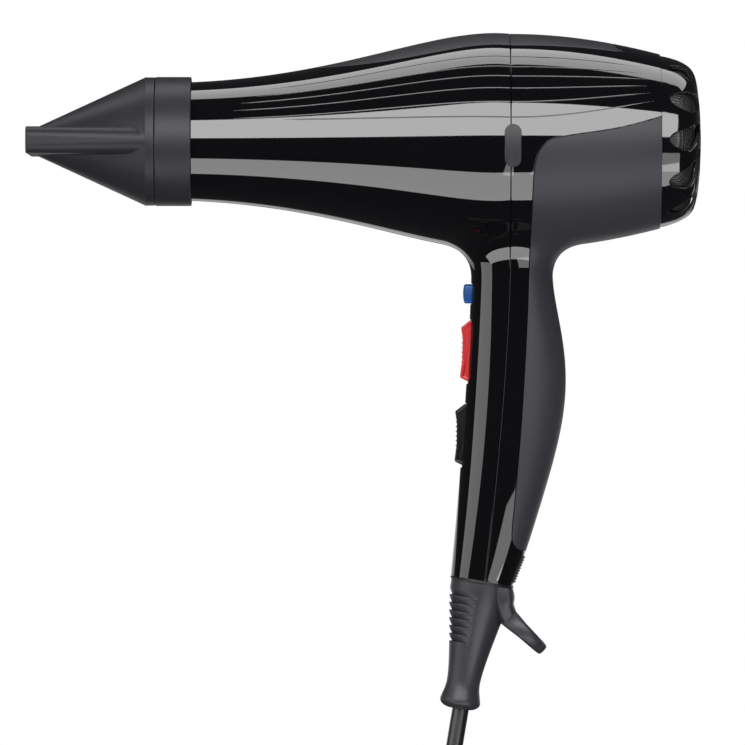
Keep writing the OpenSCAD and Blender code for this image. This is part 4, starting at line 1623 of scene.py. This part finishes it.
    def shell(self, skin: Skin, keep: Level, name: str, wall: float, inward: float = 0.0) -> Shape:
        """One walled piece of the skin, with the decorative grooves sunk where it has them.

        Args:
            skin: The carved skin.
            keep: Positive on the piece, already inset for its rounded edges.
            name: The piece's name.
            wall: Its thickness.
            inward: How far its outer face lies below the skin.

        Returns:
            The closed solid.
        """
        part = skin.kept(keep)
        normals = FORM.normal(part.points)
        if inward:
            part.points = part.points - normals * inward
            return part.walled(normals, wall, 0.05)
        sink = np.zeros(len(part.points))
        centres = part.centres()
        grooved = np.zeros(len(part.faces), bool)
        bent = normals.copy()
        for number in range(len(self.line_angles)):
            for side in (-1, 1):
                zone = self.line_zone(number, side)
                middle = self.line_level(number, side, 0.0)
                on_line = (np.abs(middle(part.points)) < 0.02) & (zone(part.points) > 0.4)
                taper = self.line_taper(number, part.points)
                sink[on_line] = self.groove_depth * taper[on_line]
                off = middle(part.points) / (self.groove_half * taper)
                near = (np.abs(off) < 1.3) & (zone(part.points) > -1)
                across = unit(slope(middle, part.points[near]))
                tilt = (np.clip(off[near], -1, 1) * self.groove_tilt)[:, None]
                bent[near] = unit(normals[near] - across * tilt)
                wide = self.groove_half * self.line_taper(number, centres)
                grooved |= (np.abs(middle(centres)) < wide) & (zone(centres) > 0)
        LOG.info("%s: %d groove points", name, int((sink > 0).sum()))
        return part.walled(normals, wall, self.edge_r, sink, grooved, bent)

    def shells(self) -> None:
        """The front and rear shells, the grip over the rear one, and the strips."""
        room = self.gap / 2 + self.edge_r
        windows = [
            self.window_level(19.8, 13.5, 5.3), self.window_level(-15.4, 13.5, 5.3),
            self.window_level(44.05, 4.35, 4.8),
        ]
        skin = self.carved()
        for level in (self.grip_level, self.strip_level):
            for shift in (-room, room):
                skin.cut(lambda p, at=shift, f=level: f(p) - at, 0.22)
        for shift in (-room, room):
            skin.cut(lambda p, at=shift: self.seam_level(p) - at, 0.22)
        for window in windows:
            skin.cut(lambda p, f=window: f(p) - self.edge_r, 0.22)

        def outside_windows(p: Array) -> Array:
            """Positive outside the control windows."""
            return np.minimum.reduce([w(p) - self.edge_r for w in windows])

        def inset(level: Level, sign: int = 1) -> Level:
            """One side of a boundary, less the room for the gap and the rounded edge."""
            return lambda p: sign * level(p) - room

        def meet(*levels: Level) -> Level:
            """Positive where every one of the levels is."""
            return lambda p: np.minimum.reduce([level(p) for level in levels])

        before, behind = inset(self.seam_level, -1), inset(self.seam_level)
        off_strip, on_strip = inset(self.strip_level, -1), inset(self.strip_level)
        off_grip, on_grip = inset(self.grip_level, -1), inset(self.grip_level)
        grip = meet(on_grip, behind)
        strips = {"front": meet(on_strip, before), "rear": meet(on_strip, behind)}

        def under(level: Level) -> Shape:
            """The thin layer of a shell below a piece that lies in it."""
            return self.shell(skin, lambda p: level(p) + room, "under_layer", 0.9, 1.15)

        shell = self.shell(skin, meet(before, off_strip, outside_windows), "front_shell", self.wall)
        self._dress(shell.joined(under(strips["front"])), "front_shell", "gloss_black", "front_housing")
        shell = self.shell(skin, meet(behind, off_strip, off_grip), "rear_shell", self.wall)
        shell = shell.joined(under(strips["rear"])).joined(under(grip))
        self._dress(shell, "rear_shell", "gloss_black", "rear_housing")
        soft = self.shell(skin, grip, "soft_grip", self.skin_wall)
        self._dress(soft, "soft_grip", "soft_grey", "rear_grip")
        for end, level in strips.items():
            strip = self.shell(skin, level, f"strip_{end}", self.skin_wall)
            self._dress(strip, f"strip_{end}", "trim_grey", f"top_strip_{end}")

    def _dress(self, shape: Shape, name: str, slot: str, *nodes: str) -> None:
        """Builds a housing piece and finishes it."""
        self.wardrobe.dress(shape.build(name), slot, "housing", *nodes)

    def clips(self) -> None:
        """The raised pill on each side, which follows the barrel."""
        columns, rows, proud = 25, 49, 0.75
        radius, tall = self.clip_half
        points = []
        for z in np.linspace(-1, 1, rows) * tall:
            over = max(abs(z) - (tall - radius), 0)
            half = max(math.sqrt(max(radius**2 - over**2, 0.0)), 0.35)
            points += [(self.clip[0] + a * half, 0.0, self.clip[1] + z) for a in np.linspace(-1, 1, columns)]
        for side, name in ((-1, "left"), (1, "right")):
            flat = np.array(points)
            r = FORM.barrel_radius(flat[:, 0])
            flat[:, 1] = side * np.sqrt(r**2 - (flat[:, 2] - FORM.axis_z) ** 2)
            normals = FORM.normal(flat)
            faces = grid_faces(columns, rows)
            faces = faces if side < 0 else [tuple(reversed(face)) for face in faces]
            piece = Skin(flat + normals * proud, faces, FORM.settle).walled(normals, 1.1, 0.4)
            self._dress(piece, f"side_clip_{name}_cover", "trim_grey", f"side_clip_{name}")

    def insert(self) -> None:
        """The ribbed patch at the foot of the handle's back."""
        columns, rows, count = 17, 21, 10
        points = []
        n = FORM.corner
        for z in np.linspace(self.insert_top, self.insert_low, rows):
            mid, half, wide = (float(v[0]) for v in FORM.handle_section(np.array([z])))
            for y in np.linspace(-self.insert_half, self.insert_half, columns):
                points.append((mid + half * (1 - abs(y / wide) ** n) ** (1 / n), y, z))
        flat = FORM.settle(np.array(points))
        normals = FORM.normal(flat)
        faces = facing(flat, grid_faces(columns, rows), normals)
        base = Skin(flat + normals * 0.12, faces, FORM.settle).walled(normals, 1.2, 0.3).build("insert_base")
        middle = columns // 2
        first, last = flat[columns : 2 * columns], flat[-2 * columns : -columns]
        rib = sweep(first - first[middle], 0.42, 8).outward()
        step = (last[middle] - first[middle]) / (count - 1)
        start = first[middle] + normals[middle + columns] * 0.3
        finish = self.wardrobe.get("trim_grey")
        ribs = self.wardrobe.repeat.make(rib, "insert_ribs", finish, count, tuple(start), tuple(step))
        piece = joined_pieces("ribbed_insert", [base, ribs])
        self.wardrobe.dress(piece, "trim_grey", "housing", "handle_insert")

    def build(self) -> None:
        """Makes every piece of the housing."""
        self.shells()
        self.clips()
        self.insert()


# ---------------- nozzle


@dataclass
class SlotNozzle:
    """The flat concentrator nozzle and the collar it is pushed on."""

    wardrobe: Wardrobe
    tip_x: float = -203.0
    back_x: float = -153.4
    neck_end: float = -144.4
    neck_r: float = 24.8
    bore_r: float = 23.2
    back_r: float = 27.1
    shoulder_r: float = 26.95
    half_high: float = 5.65
    half_wide: float = 36.0
    corner: Pair = (5.6, 4.0)
    crease: float = 0.5
    wall: float = 1.6
    collar: Pair = (-149.6, -134.4)

    def columns(self) -> Array:
        """Angles round the axis, closer together at the slot's two ends."""
        t = np.linspace(0, 2 * math.pi, 288, endpoint=False)
        return t - 0.30 * np.sin(2 * t)

    def section(self, x: float, phi: Array, inset: float) -> Array:
        """The nozzle's outline at x as radii, a cone blended with the slot's flat tube.

        Args:
            x: Place along the axis.
            phi: Angles from +Y towards +Z.
            inset: How far inside the outer face.

        Returns:
            One radius for each angle.
        """
        cone_end, slot_start, slot_long, slot_r = -200.0, -152.0, 51, 27
        u = (self.back_x - x) / (self.back_x - cone_end)
        cone = self.back_r + (self.half_high + 0.02 - self.back_r) * min(u, 1.0) - inset
        t = max(0.0, (slot_start - x) / slot_long)
        h = self.half_high - inset
        wide = slot_r + (self.half_wide - slot_r) * min(t, 1.0) ** 1.6 - inset
        corner = self.corner[0] + (self.corner[1] - self.corner[0]) * min(t, 1.0) - inset
        a, b = wide - corner, h - corner
        c, s = np.abs(np.cos(phi)), np.abs(np.sin(phi))
        along = a * c + b * s
        arc = along + np.sqrt(np.maximum(corner**2 - (a**2 + b**2 - along**2), 0))
        side, top = wide / np.maximum(c, 1e-6), h / np.maximum(s, 1e-6)
        slot = np.where(side * s <= b, side, np.where(top * c <= a, top, arc))
        k = self.crease
        lift = np.maximum(k - np.abs(cone - slot), 0) ** 2 / (4 * k)
        return np.maximum(cone, slot) + (lift if x > -199 else 0)

    def ring(self, x: float, phi: Array, radius: Array | float) -> Array:
        """A ring of points at x."""
        r = np.broadcast_to(radius, phi.shape)
        return np.stack([np.full(len(phi), x), r * np.cos(phi), FORM.axis_z + r * np.sin(phi)], 1)

    def nozzle(self) -> None:
        """The moulded nozzle: outer face, round lip, inner duct and neck."""
        phi = self.columns()
        shoulder, back, neck_r, lip = self.collar[0] - 0.16, self.back_x, self.neck_r, 0.55
        neck = (
            (self.neck_end, self.bore_r + 0.2), (self.neck_end, neck_r - 0.3), (self.neck_end - 0.3, neck_r),
            (-146.3, neck_r), (-146.9, 25.6), (-147.4, 25.6), (-148, neck_r), (shoulder + 0.02, neck_r),
            (shoulder, self.shoulder_r - 0.2), (shoulder - 0.2, self.shoulder_r),
            (back + 0.2, self.shoulder_r), (back + 0.02, self.shoulder_r), (back, self.back_r - 0.08),
            (back - 0.15, self.back_r - 0.02),
        )
        rings = [self.ring(x, phi, radius) for x, radius in neck]
        for x in np.linspace(back - 0.5, self.tip_x + lip, 90):
            rings.append(self.ring(x, phi, self.section(x, phi, 0)))
        for turn in np.linspace(0.25, 1, 4) * math.pi / 2:
            x = self.tip_x + lip - lip * math.sin(turn)
            rings.append(self.ring(x, phi, self.section(self.tip_x, phi, lip * (1 - math.cos(turn)))))
        for turn in np.linspace(0, 0.75, 4) * math.pi / 2:
            x = self.tip_x + lip - lip * math.cos(turn)
            inset = self.wall - lip * (1 - math.sin(turn))
            rings.append(self.ring(x, phi, self.section(self.tip_x, phi, inset)))
        for x in np.linspace(self.tip_x + lip, back - 0.6, 40):
            rings.append(self.ring(x, phi, np.minimum(self.section(x, phi, self.wall), 25.4)))
        rings.append(self.ring(back, phi, self.bore_r))
        shape = closed_loft(rings)
        self.wardrobe.dress(shape.build("slot_nozzle", 38), "nozzle_grey", "nozzle", "nozzle")

    def collar_ring(self) -> None:
        """The ring that holds the nozzle, with rounded edges and a groove for the nozzle's bead."""
        front, back = self.collar
        r, bore, edge = self.back_r, 25.15, 0.5
        turns = np.linspace(0, RIGHT_ANGLE, 6)
        profile = [(back - edge * (1 - math.sin(t)), r - edge * (1 - math.cos(t))) for t in turns[::-1]]
        profile += [(front + edge * (1 - math.sin(t)), r - edge * (1 - math.cos(t))) for t in turns]
        profile += [(front, bore + 0.2), (front + 0.3, bore), (-147.8, bore), (-147.6, 25.9), (-146.4, 25.9)]
        profile += [(-146.2, bore), (back - 0.3, bore), (back, bore + 0.2)]
        shape = moved(turned(profile, 144), (0, 0, FORM.axis_z))
        self.wardrobe.dress(shape.build("collar_ring", 40), "nozzle_grey", "nozzle_collar", "nozzle_collar")

    def build(self) -> None:
        """Makes the nozzle and its collar."""
        self.nozzle()
        self.collar_ring()


# ---------------- air intake


@dataclass
class Intake:
    """The swirled rear grille and the fine mesh behind it."""

    wardrobe: Wardrobe
    leaves: int = 12
    swirl_deg: float = 28.0
    wall: float = 1.5
    edge_r: float = 0.4
    profile: tuple[Pair, ...] = (
        (62.25, 36.0), (65.5, 35.3), (70.2, 33.9), (73.6, 32.1), (75.6, 30.0), (76.9, 27.4), (77.8, 23.5),
        (78.4, 19.0), (78.9, 14.0), (79.15, 9.5),
    )
    leaf_start: float = 0.10
    leaf_end: float = 0.90

    def surface(self, s: Array, phi: Array) -> Array:
        """Points on the grille's outer face."""
        at = s * (len(self.fine) - 1)
        low = np.clip(at.astype(int), 0, len(self.fine) - 2)
        t = (at - low)[:, None]
        xr = self.fine[low] * (1 - t) + self.fine[low + 1] * t
        return np.stack([xr[:, 0], xr[:, 1] * np.sin(phi), FORM.axis_z + xr[:, 1] * np.cos(phi)], 1)

    def leaf_edges(self, s: float) -> Pair:
        """The two edges of a leaf opening at s, in shares of the pitch either side of its middle."""
        u = (s - self.leaf_start) / (self.leaf_end - self.leaf_start)
        if not 0 < u < 1:
            return 0.0, 0.0
        wide = 0.33 * math.sin(min(u / 0.40, 1.0) * math.pi / 2) ** 0.55
        close = max(0.0, (u - 0.80) / 0.20)
        wide *= math.sqrt(max(1 - close**2, 0.0))
        return -wide, wide

    def cage(self) -> Skin:
        """The outer face: a whole band, swirled ribs and a whole middle."""
        self.fine = smooth_curve(self.profile, 8)
        pitch = 2 * math.pi / self.leaves
        start, end = self.leaf_start, self.leaf_end
        leafy = start + (end - start) * np.linspace(0, 1, 44) ** 1.15
        rows = np.unique([*np.linspace(0, start, 6), *leafy, *np.linspace(end, 1, 5)])
        across = 7
        number: dict[tuple[int, int, int], int] = {}
        points: list[Pair] = []
        faces: Faces = []

        def index(row: int, leaf: int, step: int) -> int:
            """The number of a rib point, shared where an opening has no width."""
            leaf %= self.leaves
            low, high = self.leaf_edges(rows[row])
            if step == across and high - low < 1e-6:
                leaf, step = (leaf + 1) % self.leaves, 0
            key = (row, leaf, step)
            if key not in number:
                number[key] = len(points)
                start = high * pitch
                end = pitch + low * pitch
                swirl = math.radians(self.swirl_deg) * max(0.0, (rows[row] - 0.3) / 0.7) ** 1.6
                phi = leaf * pitch + start + (end - start) * step / across
                points.append((rows[row], phi + swirl))
            return number[key]

        for row in range(len(rows) - 1):
            for leaf in range(self.leaves):
                for step in range(across):
                    face = (
                        index(row, leaf, step), index(row, leaf, step + 1),
                        index(row + 1, leaf, step + 1), index(row + 1, leaf, step),
                    )
                    ring = [i for k, i in enumerate(face) if i != face[k - 1]]
                    if len(ring) > 2:
                        faces.append(tuple(ring))
        sp = np.array(points)
        place = self.surface(sp[:, 0], sp[:, 1])
        return Skin(place, faces, lambda p: p)

    def normals(self, p: Array) -> Array:
        """The turned face's normal at each point."""
        r = np.hypot(p[:, 1], p[:, 2] - FORM.axis_z)
        step = np.gradient(self.fine, axis=0)
        order = np.argmin((self.fine[:, 1] - r[:, None]) ** 2, axis=1)
        dx, dr = unit(step[order]).T
        return np.stack([-dr, dx * p[:, 1] / r, dx * (p[:, 2] - FORM.axis_z) / r], 1)

    def grille(self) -> None:
        """The glossy cage with its hub cap."""
        skin = self.cage()
        normals = self.normals(skin.points)
        skin.faces = facing(skin.points, skin.faces, normals)
        cage = skin.walled(normals, self.wall, self.edge_r)
        hub = [(79.3, 0.02), (79.3, 6.4), (79.1, 8.6), (78.6, 9.9), (77.9, 10.4), (77.0, 10.2), (76.9, 0.02)]
        cap = moved(turned(hub, 64), (0, 0, FORM.axis_z))
        piece = joined_pieces("swirl_grille", [cage.build("cage"), cap.build("grille_hub")])
        self.wardrobe.dress(piece, "grille_black", "rear_filter", "rear_grille")

    def mesh_cup(self) -> None:
        """The fine steel mesh that lies behind the openings."""
        outer = [(63.0, 32.4), (69.3, 31.7), (72.6, 29.6), (74.6, 27.0), (75.7, 22.8), (76.3, 16), (76.6, 8)]
        fine = smooth_curve(outer, 5)
        inner = [(x - 0.5, r - 0.4) for x, r in fine[::-1]]
        profile = [(x, r) for x, r in fine] + [(76.7, 0.02), (76.2, 0.02)] + inner
        shape = moved(turned(profile, 96), (0, 0, FORM.axis_z))
        self.wardrobe.dress(shape.build("intake_mesh", 60), "mesh_steel", "rear_filter", "filter_mesh")

    def build(self) -> None:
        """Makes the grille and its mesh."""
        self.grille()
        self.mesh_cup()


# ---------------- controls


@dataclass
class Controls:
    """The two rockers and the cold-air button on the handle's front."""

    wardrobe: Wardrobe
    rocker_half: float = 5.0
    rocker_low: float = -13.4
    rocker_high: float = 13.4
    button_z: float = 44.05
    button_half: Pair = (4.5, 4.05)

    def rocker(
        self, pivot: Pair, tip: Pair, name: str, slot: str, node: str
    ) -> None:
        """A rocker with a hollowed, ribbed face and a raised frame round each cheek.

        Args:
            pivot: Its pivot (x, z).
            tip: The face's x at its upper and lower corners, from the pivot.
            name: The piece's name.
            slot: Its finish.
            node: The CAD node it stands for, which is also its body.
        """
        top, low = tip
        corners = [
            (-4.6, self.rocker_high), (top, 10.1), (top + 0.75, 5.5), (low + 0.95, -4.0), (low, -10.9),
            (-4.2, self.rocker_low), (0.6, -11.5), (0.6, 11.5),
        ]
        outline = rounded_outline(corners, 1.1, 6)
        half = self.rocker_half
        cheek = [(1.5, 0.25), (1.15, 0.25), (0.85, 0.0)]
        levels = [(inset, -half + sunk) for inset, sunk in cheek]
        levels += rounded_levels(-half, half, 0.7)
        levels += [(inset, half - sunk) for inset, sunk in reversed(cheek)]
        rings = []
        for inset, y in levels:
            flat = shrunk(outline, inset) + np.array(pivot)
            rings.append(np.column_stack([flat[:, 0], np.full(len(flat), y), flat[:, 1]]))
        body = loft(rings).outward().build(name + "_body", 50)
        count = 9
        start_z, end_z = 7.6, -8.2
        rib = pillow(rounded_rectangle(0.28, 3.9, 0.25, 3), 0, 0.9, 0.2)
        rib = moved(rib, (0, 0, 0), np.array([[0.0, 0, -1], [0, 1, 0], [1, 0, 0]]))
        slope_x = (low - top) / count * 0.75
        ribs = self.wardrobe.repeat.make(
            rib, name + "_ribs", self.wardrobe.get(slot), count,
            (pivot[0] + top + 1.25, 0, pivot[1] + start_z), (slope_x, 0, (end_z - start_z) / (count - 1)),
        )
        pin = moved(turned([(0, 0.02), (0, 1.2), (13.2, 1.2), (13.2, 0.02)], 24), (-6.6, 0, 0))
        swap = np.array([[0.0, 1, 0], [1, 0, 0], [0, 0, 1]])
        pin = moved(pin, (pivot[0], 0, pivot[1]), swap).outward().build(name + "_pin", 40)
        piece = joined_pieces(name, [body, ribs, pin])
        self.wardrobe.dress(piece, slot, node, node)

    def cold_button(self) -> None:
        """The blue button, softly domed, with its flange inside the handle."""
        cap = pillow(rounded_rectangle(*self.button_half, 1.5, 6), 0, 7.4, 0.8, 0.35)
        flange = pillow(rounded_rectangle(5.3, 4.9, 1.0), -0.2, 0.8, 0.2)
        turn = np.array([[0.0, 0, -1], [1, 0, 0], [0, 1, 0]])
        both = moved(cap.joined(flange), (-12.6, 0, self.button_z), turn).outward()
        button = both.build("cold_air_button", 40)
        self.wardrobe.dress(button, "blue_button", "cold_button", "cold_shot_button")

    def build(self) -> None:
        """Makes the controls."""
        self.rocker((-12.5, 19.8), (-8.7, -9.2), "heat_rocker_cap", "red_switch", "heat_rocker")
        self.rocker((-14.8, -15.4), (-8.9, -9.2), "speed_rocker_cap", "black_switch", "speed_rocker")
        self.cold_button()


# ---------------- inner works


class InnerWorks:
    """Finishes the CAD pieces that keep their own shapes."""

    def __init__(self, wardrobe: Wardrobe) -> None:
        """Keeps the wardrobe."""
        self.wardrobe = wardrobe

    def build(self) -> None:
        """Gives each shown CAD node the material of the slot its record names."""
        slots = {row["node"]: row["material_slot"] for row in frame["record"]["subparts"]}
        for name, node in sorted(frame["nodes"].items()):
            if node.hide_render:
                continue
            material = self.wardrobe.get(slots[name])
            for place in node.material_slots:
                place.material = material
            if not node.material_slots:
                node.data.materials.append(material)
            LOG.info("%s: finished as %s", name, slots[name])


# ---------------- the whole dryer


def main() -> None:
    """Builds the camera and cord first, then every sub-assembly in order."""
    logging.basicConfig(level=logging.INFO, format="%(name)s: %(message)s")
    wardrobe = Wardrobe()
    Studio().build()
    for part in (
        MainsCord(wardrobe), CordBoot(wardrobe), Housing(wardrobe), SlotNozzle(wardrobe),
        Intake(wardrobe), Controls(wardrobe), InnerWorks(wardrobe),
    ):
        part.build()


if __name__ == "__main__":
    main()
